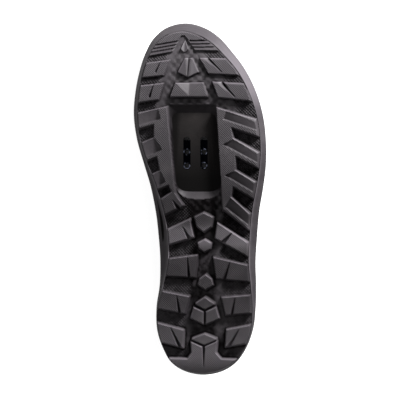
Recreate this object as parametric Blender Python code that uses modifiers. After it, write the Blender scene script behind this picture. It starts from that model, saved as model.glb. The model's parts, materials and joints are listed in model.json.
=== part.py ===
"""A left cycling shoe with a lugged rubber outsole and a cleat recess, lying on its medial side.

Every piece is made upright in the shoe's own frame, in millimetres: X towards the inner ankle, Y towards
the toe, Z up from the ground. One empty then lays the whole shoe down on the edge that carries it.
"""

import math

import bmesh
import bpy
import numpy as np
from mathutils import Matrix, Vector

for old in list(bpy.data.objects):
    bpy.data.objects.remove(old, do_unlink=True)


def table(names, *rows):
    """Named columns from rows of numbers."""
    return dict(zip(names.split(), np.array(rows, float).T))


def smooth(x, xs, ys):
    """Cubic through the points that never overshoots them, held flat past both ends."""
    xs, ys = np.asarray(xs, float), np.asarray(ys, float)
    x = np.clip(np.asarray(x, float), xs[0], xs[-1])
    step, rise = np.diff(xs), np.diff(ys)
    slope = rise / step
    bend = np.zeros_like(ys)
    same = slope[1:] * slope[:-1] > 0
    with np.errstate(divide="ignore", invalid="ignore"):
        mean = (step[1:] + step[:-1]) / (step[:-1] / slope[:-1] + step[1:] / slope[1:])
    bend[1:-1] = np.where(same, mean, 0.0)
    bend[0], bend[-1] = slope[0], slope[-1]
    i = np.clip(np.searchsorted(xs, x) - 1, 0, len(xs) - 2)
    t = (x - xs[i]) / step[i]
    return (
        ys[i] * (1 + 2 * t) * (1 - t) ** 2
        + ys[i + 1] * t**2 * (3 - 2 * t)
        + step[i] * t * (1 - t) * (bend[i] * (1 - t) - bend[i + 1] * t)
    )


# The sole's widest line, 14 mm up, by distance from the heel. The last two columns say how far the
# bottom edge of the side wall is set in from it.
OUTLINE = table(
    "y medial lateral in_medial in_lateral",
    (3.7, 23.3, -17.3, 4.0, 4.0),
    (9.0, 29.5, -24.2, 4.0, 4.0),
    (18.5, 35.1, -31.2, 3.8, 3.8),
    (33.0, 40.3, -37.2, 3.6, 3.6),
    (53.0, 41.3, -40.1, 3.6, 3.6),
    (72.0, 38.8, -40.4, 5.0, 4.0),
    (92.0, 38.9, -39.7, 8.5, 4.6),
    (111.0, 40.5, -40.7, 9.5, 5.0),
    (131.0, 42.4, -42.7, 8.0, 4.8),
    (150.0, 45.8, -46.1, 6.0, 4.4),
    (170.0, 51.7, -48.5, 4.4, 3.8),
    (190.0, 57.5, -48.4, 4.2, 3.6),
    (209.0, 60.2, -46.1, 4.6, 4.0),
    (229.0, 59.2, -40.1, 4.8, 4.6),
    (249.0, 55.8, -29.6, 5.0, 5.2),
    (262.0, 52.2, -19.5, 5.6, 6.0),
    (274.6, 45.8, -7.9, 6.6, 7.0),
    (282.0, 38.0, 3.0, 7.4, 7.6),
)
HEEL_TIP, TOE_TIP = (4.2, -1.9), (21.6, 286.8)

LUG_H = 5.0  # depth of the tread
SHEET_T = 3.0  # rubber under the ball, between tread and plate
PLATE_T = 4.0  # stiff plate that takes the cleat, its seat gap included
GAP = 0.3  # between pieces that touch
RAND_GAP = 0.4  # between the upper and the rubber wall round it
WALL = 2.0  # wall of the upper
RAND_T = 2.4  # rubber wall round the upper
RAND_IN = 3.7  # from the widest line to the upper's outside

BALL_FLAT = (150.0, 212.0)  # the forefoot touches the ground between these
HEEL_FLAT = (14.0, 67.0)  # and the heel between these
TOE_SPRING, TOE_POWER = 20.0, 1.7
HEEL_BEVEL = 4.0
ARCH_RISE = 5.0
HEEL_LIFT, LIFT_FROM, LIFT_TO = 12.0, 150.0, 60.0

# How high the rubber wall stands above the plate.
RAND = table("y high", (-2, 18), (30, 17), (62, 14), (110, 12), (150, 11), (212, 12), (250, 14), (287, 16))

# The edge of the collar and throat, by share of the way from heel tip to toe tip along the outline.
OPENING = table(
    "along y half centre z",
    (0.00, 12.0, 0.0, 3.0, 97.0),
    (0.05, 14.5, 12.5, 2.6, 96.5),
    (0.10, 21.5, 21.0, 2.0, 94.0),
    (0.20, 45.0, 28.0, 1.0, 86.0),
    (0.30, 73.0, 27.5, 1.0, 86.0),
    (0.40, 100.0, 20.0, 3.0, 99.0),
    (0.45, 110.0, 15.0, 4.0, 104.0),
    (0.50, 124.0, 13.0, 5.0, 99.0),
    (0.60, 148.0, 12.5, 7.0, 88.0),
    (0.70, 168.0, 12.0, 9.0, 77.0),
    (0.80, 184.0, 10.5, 11.0, 70.0),
    (0.90, 194.0, 7.0, 12.5, 66.0),
    (1.00, 199.0, 0.0, 13.5, 64.0),
)
# The curve that the upper climbs from the feather line to that edge, as shares of the run in and up.
CLIMB_AT = (0.0, 0.25, 0.45, 0.70, 1.0)
CLIMB = table(
    "step heel_in heel_up side_in side_up waist_in waist_up ball_in ball_up toe_in toe_up",
    (0.00, 0.00, 0.00, 0.00, 0.00, 0.00, 0.00, 0.00, 0.00, 0.00, 0.00),
    (0.14, 0.00, 0.17, 0.16, 0.18, 0.02, 0.18, 0.02, 0.20, 0.00, 0.34),
    (0.28, 0.02, 0.34, 0.44, 0.36, 0.10, 0.37, 0.07, 0.38, 0.02, 0.55),
    (0.42, 0.12, 0.51, 0.64, 0.53, 0.22, 0.55, 0.17, 0.56, 0.07, 0.71),
    (0.56, 0.34, 0.66, 0.78, 0.68, 0.40, 0.71, 0.33, 0.73, 0.20, 0.82),
    (0.70, 0.62, 0.80, 0.88, 0.82, 0.61, 0.84, 0.54, 0.87, 0.44, 0.91),
    (0.85, 0.86, 0.91, 0.95, 0.92, 0.82, 0.94, 0.79, 0.95, 0.73, 0.97),
    (1.00, 1.00, 1.00, 1.00, 1.00, 1.00, 1.00, 1.00, 1.00, 1.00, 1.00),
)
AROUND = 72  # columns round the shoe
UP = 11  # steps from feather line to edge


def ground(y):
    """Underside of the tread: two flats, the arch between them, the heel's bevel and the toe spring."""
    y = np.asarray(y, float)
    bevel = HEEL_BEVEL * (np.clip(HEEL_FLAT[0] - y, 0, None) / HEEL_FLAT[0]) ** 2
    way = np.clip((y - HEEL_FLAT[1]) / (BALL_FLAT[0] - HEEL_FLAT[1]), 0, 1)
    arch = ARCH_RISE * np.sin(np.pi * way) ** 2
    past = np.clip(y - BALL_FLAT[1], 0, None) / (TOE_TIP[1] - BALL_FLAT[1])
    return bevel + arch + TOE_SPRING * past**TOE_POWER


def bed(y):
    """Top of the plate: level under the ball, lifted at the heel and rising with the toe spring."""
    y = np.asarray(y, float)
    way = np.clip((LIFT_FROM - y) / (LIFT_FROM - LIFT_TO), 0, 1)
    past = np.clip(y - BALL_FLAT[1], 0, None) / (TOE_TIP[1] - BALL_FLAT[1])
    return LUG_H + SHEET_T + PLATE_T + HEEL_LIFT * way**2 * (3 - 2 * way) + TOE_SPRING * past**TOE_POWER


def outline_points():
    """x, y, bottom inset of the closed outline's rows, from the heel tip up the lateral side."""
    o = OUTLINE
    lateral = np.stack([o["lateral"], o["y"], o["in_lateral"]], 1)
    medial = np.stack([o["medial"], o["y"], o["in_medial"]], 1)[::-1]
    heel = [*HEEL_TIP, o["in_medial"][0]]
    toe = [*TOE_TIP, o["in_medial"][-1]]
    return np.vstack([heel, lateral, toe, medial]), len(lateral) + 1


def dense_outline(count=300):
    """The smooth closed outline as (half, count + 1, x y inset nx ny): n points inwards, and both halves
    have the same y at the same place in the list."""
    p, toe = outline_points()
    n = len(p)
    gap = np.linalg.norm(np.diff(np.vstack([p, p[:1]])[:, :2], axis=0), axis=1)
    at = np.concatenate([[0], np.cumsum(gap)])
    before, after = gap[np.arange(n) - 1][:, None], gap[:, None]
    into = (p - p[np.arange(n) - 1]) / before
    out = (p[(np.arange(n) + 1) % n] - p) / after
    tangent = (into * after + out * before) / (before + after)
    halves = []
    for start, end in ((0.0, at[toe]), (at[-1], at[toe])):
        s = np.linspace(start, end, count + 1)
        i = np.clip(np.searchsorted(at, s, "right") - 1, 0, n - 1)
        j = (i + 1) % n
        h = gap[i][:, None]
        t = ((s - at[i]) / gap[i])[:, None]
        point = (
            p[i] * (1 + 2 * t) * (1 - t) ** 2
            + p[j] * t**2 * (3 - 2 * t)
            + h * t * (1 - t) * (tangent[i] * (1 - t) - tangent[j] * t)
        )
        along = np.gradient(point[:, :2], axis=0) * (1 if end > start else -1)
        along /= np.linalg.norm(along, axis=1)[:, None]
        normal = np.stack([along[:, 1], -along[:, 0]], 1)
        halves.append(np.hstack([point, normal]))
    level = (halves[0][:, 1] + halves[1][:, 1]) / 2
    return np.array([[np.interp(level, h[:, 1], h[:, k]) for k in range(5)] for h in halves]).transpose(0, 2, 1)


DENSE = dense_outline()


def outline(along, side):
    """x, y, bottom inset and inward normal at a share of the way from heel to toe. Side is -1 lateral, 1 medial."""
    rows = DENSE[0 if side < 0 else 1]
    at = np.linspace(0, 1, len(rows))
    return np.stack([np.interp(along, at, rows[:, k]) for k in range(5)], -1)


def climb(along, step):
    """Shares of the run in and of the rise of the upper's curve."""
    shapes = ("heel", "side", "waist", "ball", "toe")
    ins = np.stack([smooth(step, CLIMB["step"], CLIMB[f"{k}_in"]) for k in shapes])
    ups = np.stack([smooth(step, CLIMB["step"], CLIMB[f"{k}_up"]) for k in shapes])
    weights = np.array([np.interp(along, CLIMB_AT, np.eye(len(CLIMB_AT))[k]) for k in range(len(CLIMB_AT))])
    return (weights * ins).sum(0), (weights * ups).sum(0)


def edge(along, side):
    """The point of the collar and throat edge that a column climbs to."""
    o = OPENING
    half = smooth(along, o["along"], o["half"])
    centre = smooth(along, o["along"], o["centre"])
    return np.stack([centre + side * half, smooth(along, o["along"], o["y"]), smooth(along, o["along"], o["z"])], -1)


def upper_at(along, side, step):
    """A point of the upper's outside, for arrays of the same length along and step."""
    along, step = np.broadcast_arrays(np.asarray(along, float), np.asarray(step, float))
    foot = outline(along, side)
    base = foot[..., :2] + foot[..., 3:] * RAND_IN
    low = bed(base[..., 1]) + GAP + 0.15
    top = edge(along, side)
    run, rise = climb(along, step)
    xy = base + (top[..., :2] - base) * run[..., None]
    return np.concatenate([xy, (low + (top[..., 2] - low) * rise)[..., None]], -1)


def outward(along, side, step):
    """The unit normal of the upper's outside."""
    d = 0.004
    a, b = np.clip(along - d, 0, 1), np.clip(along + d, 0, 1)
    c, e = np.clip(step - d, 0, 1), np.clip(step + d, 0, 1)
    u = upper_at(b, side, step) - upper_at(a, side, step)
    v = upper_at(along, side, e) - upper_at(along, side, c)
    n = np.cross(v, u) * side * -1.0
    return n / np.linalg.norm(n, axis=-1)[..., None]


def step_at(along, side, high):
    """The step at which a column is this high above the plate."""
    steps = np.linspace(0, 1, 60)
    found = []
    for a, h in zip(along, high):
        z = upper_at(np.full(60, a), side, steps)[:, 2]
        found.append(np.interp(h, z - z[0], steps))
    return np.array(found)


def columns():
    """Share along and side of each column round the shoe, lateral side first."""
    half = AROUND // 2
    up = np.arange(half + 1) / half
    return np.concatenate([up, up[-2:0:-1]]), np.array([-1] * (half + 1) + [1] * (half - 1))


ALONG, SIDE = columns()


def around(function):
    """A ring from a function of (along, side) for one side at a time."""
    made = np.zeros((AROUND, 3))
    for side in (-1, 1):
        pick = SIDE == side
        made[pick] = function(ALONG[pick], side)
    return made


def rand_ring(high, out):
    """Ring at a height above the plate, this far outside the upper."""

    def half(along, side):
        foot = outline(along, side)
        h = high(foot[:, 1])
        point = upper_at(along, side, step_at(along, side, h))
        point[:, :2] -= foot[:, 3:] * out
        point[:, 2] = bed(point[:, 1]) + h
        return point

    return around(half)


def flat_ring(inset, z_of):
    """Ring set in from the widest line, at the height that a function of y gives."""

    def half(along, side):
        foot = outline(along, side)
        far = foot[:, 2] if inset is None else np.broadcast_to(inset, foot[:, 2].shape)
        xy = foot[:, :2] + foot[:, 3:] * far[:, None]
        return np.column_stack([xy, z_of(xy[:, 1])])

    return around(half)


PARTS = bpy.data.collections.new("cycling_shoe")
CUTTERS = bpy.data.collections.new("cutters")
bpy.context.scene.collection.children.link(PARTS)
bpy.context.scene.collection.children.link(CUTTERS)


def material(name, colour, rough, metal=0.0):
    made = bpy.data.materials.new(name)
    made.use_nodes = True
    shader = made.node_tree.nodes["Principled BSDF"]
    shader.inputs["Base Color"].default_value = (*colour, 1)
    shader.inputs["Roughness"].default_value = rough
    shader.inputs["Metallic"].default_value = metal
    return made


def thing(name, points, faces, mat=None, cutter=False):
    """One mesh object from points in millimetres, its faces turned outwards."""
    mesh = bpy.data.meshes.new(name)
    mesh.from_pydata([tuple(p) for p in np.asarray(points, float) * 0.001], [], [list(map(int, f)) for f in faces])
    work = bmesh.new()
    work.from_mesh(mesh)
    bmesh.ops.remove_doubles(work, verts=work.verts, dist=1e-6)
    bmesh.ops.recalc_face_normals(work, faces=work.faces)
    work.to_mesh(mesh)
    work.free()
    made = bpy.data.objects.new(name, mesh)
    (CUTTERS if cutter else PARTS).objects.link(made)
    if cutter:
        made.hide_render = True
        made.display_type = "WIRE"
    if mat:
        mesh.materials.append(mat)
    return made


def boolean(target, other, operation):
    mod = target.modifiers.new(other.name, "BOOLEAN")
    mod.operation = operation
    mod.solver = "EXACT"
    mod.object = other


def ring_faces(first, second, count):
    """Triangles between two rings, always cut along the same diagonal."""
    k = np.arange(count)
    m = (k + 1) % count
    lower = np.stack([first + k, first + m, second + m], 1)
    upper = np.stack([first + k, second + m, second + k], 1)
    return np.vstack([lower, upper]).tolist()


def cap_faces(first, count):
    """Strips across a ring, from the lateral half to the medial half."""
    half = count // 2
    faces = [[first, first + 1, first + count - 1]]
    for k in range(1, half - 1):
        a, b, c, d = first + k, first + k + 1, first + count - k - 1, first + count - k
        faces += [[a, b, c], [a, c, d]]
    return faces + [[first + half - 1, first + half, first + half + 1]]


def stack(name, rings, mat, cutter=False):
    """A closed solid: a strip cap, the rings joined in turn, and a strip cap."""
    n = len(rings[0])
    faces = cap_faces(0, n) + cap_faces(n * (len(rings) - 1), n)
    for i in range(len(rings) - 1):
        faces += ring_faces(i * n, (i + 1) * n, n)
    return thing(name, np.vstack(rings), faces, mat, cutter)


def grid(name, points, mat, closed=False):
    """An open sheet from rows of points, closed across the columns if asked."""
    rows, cols = points.shape[:2]
    faces = []
    for i in range(rows - 1):
        for j in range(cols if closed else cols - 1):
            k = (j + 1) % cols
            faces.append([i * cols + j, i * cols + k, (i + 1) * cols + k, (i + 1) * cols + j])
    return thing(name, points.reshape(-1, 3), faces, mat)


def thicken(target, by, outwards):
    """Turns a sheet into a wall whose given face stays where it is."""
    mod = target.modifiers.new("wall", "SOLIDIFY")
    mod.thickness = by * 0.001
    mod.offset = 1.0 if outwards else -1.0
    mod.use_even_offset = True
    mod.thickness_clamp = 0.0


def face_outwards(target, point):
    """Turns a sheet's faces away from a point in millimetres."""
    mesh = target.data
    total = sum((f.center - Vector(point) * 0.001).dot(f.normal) * f.area for f in mesh.polygons)
    if total < 0:
        mesh.flip_normals()


def loft(name, rings, mat=None, cutter=False):
    """A solid through polygons of the same number of corners, the first and last filled."""
    n, last = len(rings[0]), len(rings) - 1
    faces = [list(range(n)), list(range(last * n, (last + 1) * n))]
    for i in range(last):
        faces += ring_faces(i * n, (i + 1) * n, n)
    return thing(name, np.vstack(rings), faces, mat, cutter)


def prism(name, bottom, top, mat=None, cutter=False):
    return loft(name, [bottom, top], mat, cutter)


def rounded(corners, radius, steps=4):
    """A polygon with each corner turned on an arc-like curve."""
    p = np.array(corners, float)
    made = []
    for k in range(len(p)):
        a, b, c = p[k - 1], p[k], p[(k + 1) % len(p)]
        u, v = (a - b) / np.linalg.norm(a - b), (c - b) / np.linalg.norm(c - b)
        start, end = b + u * radius, b + v * radius
        for t in np.linspace(0, 1, steps + 1):
            made.append(start * (1 - t) ** 2 + b * 2 * t * (1 - t) * 0.9 + end * t**2 + (start + end) * 0.1 * t * (1 - t))
    return np.array(made)


RUBBER = material("outsole_rubber", (0.05, 0.05, 0.052), 0.75)
NYLON = material("plate_nylon", (0.03, 0.03, 0.032), 0.5)
STEEL = material("nut_steel", (0.55, 0.56, 0.6), 0.3, 1.0)
SKIN = material("upper_synthetic", (0.04, 0.04, 0.043), 0.6)
TONGUE = material("tongue_mesh", (0.03, 0.03, 0.032), 0.85)
STRAP = material("strap_webbing", (0.05, 0.05, 0.053), 0.65)
FOAM = material("insole_foam", (0.08, 0.08, 0.085), 0.9)
TAPE = material("loop_tape", (0.05, 0.05, 0.055), 0.8)

# Outsole: a tray of rubber, thick under the heel, with a wall that follows the upper.


def sheet_low(y):
    return ground(y) + LUG_H


def tray_floor(y):
    return bed(y) - PLATE_T


def rand_high(y):
    return smooth(y, RAND["y"], RAND["high"])


outsole = stack(
    "outsole",
    [
        flat_ring(None, sheet_low),
        flat_ring(0.8, lambda y: sheet_low(y) + 5.0),
        flat_ring(0.0, lambda y: sheet_low(y) + 9.0),
        rand_ring(lambda y: rand_high(y) - 1.2, RAND_GAP + RAND_T),
        rand_ring(rand_high, RAND_GAP + RAND_T * 0.6),
        *[rand_ring(lambda y, k=k: rand_high(y) * k, RAND_GAP) for k in (1.0, 0.85, 0.68, 0.45, 0.0)],
        flat_ring(RAND_IN - RAND_GAP, tray_floor),
    ],
    RUBBER,
)

# Tread. A side lug is a four-sided block that runs in from the sole's edge; a notch splits it from its
# rear edge when its width isn't nought. Rows give the y of its four corners and the x of its inner ones.
DRAFT = 0.6  # how far each side of a lug spreads to its root
ROOT_IN = 1.3  # how far a lug's root reaches into the sheet
LUG_IN = 0.5  # from the bottom edge of the side wall to a lug's face
SIDE_LUGS = table(
    "side front_out front_in rear_in rear_out x_front x_rear notch wide deep",
    (1, 252.4, 254.8, 242.1, 240.5, 30.1, 34.4, 0.30, 1.6, 0.8),
    (-1, 255.4, 256.0, 243.2, 241.8, 5.1, -2.6, 0.45, 1.8, 0.9),
    (1, 233.7, 235.7, 222.2, 219.9, 34.2, 38.2, 0.40, 1.6, 0.8),
    (-1, 234.8, 236.4, 223.7, 220.6, -5.9, -10.9, 0.40, 1.8, 0.9),
    (1, 117.0, 125.5, 110.8, 104.9, 12.6, 9.8, 0.28, 4.4, 0.6),
    (-1, 106.5, 122.5, 110.0, 95.5, -9.9, -8.0, 0.33, 3.6, 0.6),
    (1, 93.4, 96.4, 78.3, 79.3, 6.3, 8.1, 0.30, 2.6, 0.85),
    (-1, 88.4, 94.7, 77.3, 75.2, -6.4, -9.5, 0.33, 2.8, 0.85),
    (1, 67.0, 62.9, 48.8, 52.9, 12.4, 16.4, 0.24, 1.9, 0.9),
    (-1, 64.3, 62.3, 47.9, 50.0, -13.6, -17.1, 0.32, 1.9, 0.9),
    (1, 41.3, 35.8, 21.2, 25.6, 17.1, 17.9, 0.22, 2.2, 0.9),
    (-1, 40.2, 36.4, 22.1, 25.2, -17.8, -16.7, 0.40, 2.0, 0.8),
)
# Blocks on the middle line: y of the front point, the upper and the lower corner and the rear point, the
# half width at each, and the sideways place.
CENTRE_LUGS = table(
    "front half_front high half_high low half_low rear half_rear x",
    (271.1, 0.0, 265.0, 2.6, 263.4, 3.1, 261.3, 0.6, 18.0),
    (256.0, 3.2, 250.5, 5.7, 244.6, 8.4, 240.4, 0.0, 14.2),
    (235.6, 11.5, 230.0, 13.4, 225.4, 15.0, 224.3, 15.2, 13.0),
    (130.6, 0.0, 126.9, 7.7, 119.2, 5.7, 115.0, 0.0, 1.2),
    (108.7, 0.0, 106.0, 5.5, 101.3, 4.4, 98.6, 0.0, 0.6),
    (80.7, 0.0, 77.0, 5.1, 72.1, 6.3, 68.3, 0.0, -0.7),
    (62.5, 0.0, 57.6, 7.4, 56.3, 7.6, 52.4, 0.0, -0.2),
    (32.9, 0.0, 29.0, 9.8, 27.8, 9.9, 23.7, 0.0, 0.3),
)
TOE_REAR = ((46.0, 258.7), (28.0, 261.7), (21.5, 275.0), (18.2, 275.0), (9.1, 262.7), (-10.2, 262.7))
HEEL_FRONT = ((14.0, 12.4), (10.6, 17.4), (11.3, 26.4), (0.7, 21.8), (-10.0, 26.8), (-9.2, 17.6), (-13.4, 12.5))
# The comb on each side of the recess: a rail, with bars that run out to the sole's edge and open windows
# between them.
COMBS = table(
    "side front_out front_in x_front rear_out rear_in x_rear",
    (1, 211.3, 215.9, 31.4, 198.6, 202.2, 41.3),
    (1, 187.2, 191.4, 41.5, 172.8, 176.3, 38.9),
    (1, 161.8, 164.8, 36.5, 149.4, 152.9, 29.4),
    (1, 141.5, 147.4, 27.0, 129.1, 133.4, 23.4),
    (-1, 205.8, 214.6, -9.6, 192.0, 199.4, -21.4),
    (-1, 179.0, 190.6, -23.4, 166.6, 176.4, -25.1),
    (-1, 155.3, 165.0, -25.0, 142.3, 151.8, -23.0),
    (-1, 129.6, 143.4, -21.5, 116.9, 132.1, -15.8),
)
RAIL = table("side x_front y_front x_rear y_rear", (1, 31.4, 216.4, 24.9, 146.4), (-1, -10.0, 215.4, -15.1, 132.1))
FINGER = ((26.3, 140.6), (19.7, 134.4), (17.6, 136.6), (21.4, 142.1))
FORK = table(
    "side x_in front_y x_out out_y x_low low_y rear_y",
    (1, 1.0, 50.7, 9.0, 54.4, 11.8, 45.3, 40.4),
    (-1, -1.0, 50.7, -9.3, 54.4, -12.1, 45.3, 40.4),
)


def edge_x(y, side):
    """Where a lug's outer face meets the ground side, at this y."""
    rows = DENSE[0 if side < 0 else 1]
    line = rows[:, :2] + rows[:, 3:] * (rows[:, 2] + LUG_IN + DRAFT)[:, None]
    return float(np.interp(y, line[:, 1], line[:, 0]))


def grown(polygon, by):
    """The polygon with each edge moved out, its corners held within a few times that."""
    p = np.array(polygon, float)
    area = 0.5 * sum(p[k - 1][0] * p[k][1] - p[k][0] * p[k - 1][1] for k in range(len(p)))
    turn = 1.0 if area > 0 else -1.0
    made = []
    for k in range(len(p)):
        a, b, c = p[k - 1], p[k], p[(k + 1) % len(p)]
        u, v = (b - a) / np.linalg.norm(b - a), (c - b) / np.linalg.norm(c - b)
        nu, nv = np.array([u[1], -u[0]]) * turn, np.array([v[1], -v[0]]) * turn
        mid = (nu + nv) / max(1e-6, np.linalg.norm(nu + nv))
        made.append(b + mid * by / max(0.35, float(mid @ nu)))
    return np.array(made)


def lug_solid(polygon):
    """Corners and faces of one block, its face level for now and its root wider by the draft."""
    top = np.array(polygon, float)
    n = len(top)
    face = np.column_stack([top, np.zeros(n)])
    seat = np.column_stack([grown(top, DRAFT), np.full(n, LUG_H + ROOT_IN)])
    return np.vstack([face, seat]), [list(range(n)), list(range(n, 2 * n))] + ring_faces(0, n, n)


def side_lug(row):
    s = row["side"]
    out_f, out_r = (edge_x(row["front_out"], s), row["front_out"]), (edge_x(row["rear_out"], s), row["rear_out"])
    in_f, in_r = (row["x_front"], row["front_in"]), (row["x_rear"], row["rear_in"])
    mid_y = (row["front_out"] + row["rear_out"]) / 2
    corners = [in_f, out_f, (edge_x(mid_y, s), mid_y), out_r]
    if row["wide"] > 0:
        inner, outer, front = np.array(in_r), np.array(out_r), np.array([in_f, out_f])
        base = inner + (outer - inner) * row["notch"]
        slide = (outer - inner) / np.linalg.norm(outer - inner) * row["wide"] / 2
        head = front[0] + (front[1] - front[0]) * row["notch"]
        corners += [tuple(base + slide), tuple(base + (head - base) * row["deep"]), tuple(base - slide)]
    return corners + [in_r]


def centre_lug(row):
    right = [(row["x"] + row[f"half_{k}"], row[k]) for k in ("front", "high", "low", "rear")]
    left = [(2 * row["x"] - x, y) for x, y in right[::-1]]
    corners = right + left
    return [c for k, c in enumerate(corners) if c != corners[k - 1]]


def rows_of(data, **where):
    count = len(next(iter(data.values())))
    rows = [{k: float(v[i]) for k, v in data.items()} for i in range(count)]
    return [r for r in rows if all(r[k] == v for k, v in where.items())]


def comb(side):
    """One polygon: down the rail's inner edge and back up over the bars and windows."""
    rail = rows_of(RAIL, side=side)[0]
    corners = [(rail["x_rear"], rail["y_rear"]), (rail["x_front"], rail["y_front"])]
    for k, row in enumerate(rows_of(COMBS, side=side)):
        if k:
            corners.append((row["x_front"], row["front_in"]))
        corners += [(edge_x(row[f"{end}_out"], side), row[f"{end}_out"]) for end in ("front", "rear")]
        corners.append((row["x_rear"], row["rear_in"]))
    return corners + list(FINGER) if side > 0 else corners


def heel_block():
    """The block round the back of the heel, its front edge stepped and its rear following the outline."""
    far = OUTLINE["in_medial"][0] + LUG_IN + DRAFT
    back = []
    for side in (-1, 1):
        foot = outline(np.linspace(0.012, 0.096, 7), side)
        line = (foot[:, :2] + foot[:, 3:] * far).tolist()
        back.append(line if side > 0 else line[::-1])
    return list(HEEL_FRONT) + back[0] + back[1]


def fork(row):
    inner, outer = (row["x_in"], row["front_y"]), (row["x_out"], row["out_y"])
    return [inner, outer, (row["x_low"], row["low_y"]), (row["x_in"], row["rear_y"])]


def toe_block():
    """The plateau round the toe, with the arrow-shaped notch that points ahead."""
    back = []
    for side, rear in ((-1, TOE_REAR[-1]), (1, TOE_REAR[0])):
        line = DENSE[0 if side < 0 else 1]
        share = np.interp(rear[1], line[:, 1] + line[:, 4] * (line[:, 2] + LUG_IN), np.linspace(0, 1, len(line)))
        foot = outline(np.linspace(share, 0.995, 8), side)
        inner = (foot[:, :2] + foot[:, 3:] * (foot[:, 2:3] + LUG_IN + DRAFT)).tolist()
        back.append(inner[::-1] if side > 0 else inner)
    return back[0] + back[1] + list(TOE_REAR[1:-1])


blocks = [side_lug(r) for r in rows_of(SIDE_LUGS)] + [centre_lug(r) for r in rows_of(CENTRE_LUGS)]
blocks += [fork(r) for r in rows_of(FORK)] + [comb(1), comb(-1), heel_block(), toe_block()]
corners, faces = [], []
for block in blocks:
    p, f = lug_solid(block)
    start = sum(len(c) for c in corners)
    faces += [[k + start for k in face] for face in f]
    corners.append(p)
tread = thing("tread", np.vstack(corners), faces, cutter=True)

# The level blocks are cut across at these distances from the heel, then lifted onto the ground line.
TREAD_CUTS = (14.0, 24.0, 78.0, 89.0, 108.0, 116.0, 124.0, 132.0, 141.0, 150.0, 212.0, 224.0, 270.0)
work = bmesh.new()
work.from_mesh(tread.data)
for cut in TREAD_CUTS:
    whole = [*work.verts, *work.edges, *work.faces]
    bmesh.ops.bisect_plane(work, geom=whole, dist=1e-7, plane_co=(0, cut * 0.001, 0), plane_no=(0, 1, 0))
for v in work.verts:
    v.co.z += float(ground(v.co.y * 1000)) * 0.001
work.to_mesh(tread.data)
work.free()
boolean(outsole, tread, "UNION")

# The recess goes through the sheet to the plate and narrows on its way up.
RECESS_MOUTH = ((30.6, 218.4), (-9.0, 218.2), (-13.6, 143.0), (23.6, 143.0))
RECESS_FLOOR = ((27.6, 210.6), (-8.6, 210.6), (-12.4, 148.2), (23.8, 148.2))
mouth, floor = rounded(RECESS_MOUTH, 6.0), rounded(RECESS_FLOOR, 6.0)
levels = ((mouth, -2.0), (mouth, LUG_H + 0.1), (floor, LUG_H + SHEET_T + 0.1), (floor, LUG_H + SHEET_T + 2.0))
recess = loft("recess_cutter", [np.column_stack([ring, np.full(len(ring), z)]) for ring, z in levels], None, True)
boolean(outsole, recess, "DIFFERENCE")

# Plate, with a pocket for the nut in its top and two slots through it.
SLOT_W, SLOT_L, BOLTS_X, BOLTS_Y = 6.1, 26.4, 14.0, 11.0
SLOT_X, SLOT_Y = 8.6, 178.9
NUT_L, NUT_W, NUT_T = 30.0, 24.0, 1.6
TRAVEL = 9.0
POCKET_DEEP = NUT_T + 2 * GAP
plate = stack(
    "sole_plate",
    [flat_ring(RAND_IN, lambda y: tray_floor(y) + GAP), flat_ring(RAND_IN, bed)],
    NYLON,
)
NUT_Y = SLOT_Y - TRAVEL / 2


def box(name, centre, size, cutter=True, mat=None):
    c, h = np.array(centre, float), np.array(size, float) / 2
    ring = np.array([(-1, -1), (1, -1), (1, 1), (-1, 1)]) * h[:2] + c[:2]
    bottom = np.column_stack([ring, np.full(4, c[2] - h[2])])
    top = np.column_stack([ring, np.full(4, c[2] + h[2])])
    return prism(name, bottom, top, mat, cutter)


def slot_outline(x, y, width, length, steps=8):
    r = width / 2
    turn = np.linspace(0, np.pi, steps + 1)
    front = np.column_stack([x + r * np.cos(turn), y + length / 2 - r + r * np.sin(turn)])
    rear = np.column_stack([x - r * np.cos(turn), y - length / 2 + r - r * np.sin(turn)])
    return np.vstack([front, rear])


plate_top = LUG_H + SHEET_T + PLATE_T
pocket_size = (NUT_W + 1.0, NUT_L + TRAVEL + 1.0, 2 * POCKET_DEEP)
pocket = box("pocket_cutter", (SLOT_X, SLOT_Y, plate_top), pocket_size)
boolean(plate, pocket, "DIFFERENCE")
for name, sign in (("medial", 1), ("lateral", -1)):
    shape = slot_outline(SLOT_X + sign * BOLTS_X / 2, SLOT_Y, SLOT_W, SLOT_L)
    ends = [np.column_stack([shape, np.full(len(shape), z)]) for z in (plate_top - PLATE_T - 2, plate_top + 1)]
    boolean(plate, prism(f"slot_cutter_{name}", *ends, cutter=True), "DIFFERENCE")

# Nut: a steel plate with four bosses that run in the slots, each with its bolt hole.
BOSS_D, HOLE_D = 5.4, 4.2
nut_low = plate_top - POCKET_DEEP + GAP
nut = box("cleat_nut", (SLOT_X, NUT_Y, nut_low + NUT_T / 2), (NUT_W, NUT_L, NUT_T), False, STEEL)
bosses, boss_faces, holes, hole_faces = [], [], [], []


def round_prism(x, y, diameter, low_z, high_z, steps=20):
    turn = np.arange(steps) / steps * 2 * np.pi
    ring = np.column_stack([x + diameter / 2 * np.cos(turn), y + diameter / 2 * np.sin(turn)])
    points = np.vstack([np.column_stack([ring, np.full(steps, z)]) for z in (low_z, high_z)])
    return points, [list(range(steps)), list(range(steps, 2 * steps))] + ring_faces(0, steps, steps)


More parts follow.
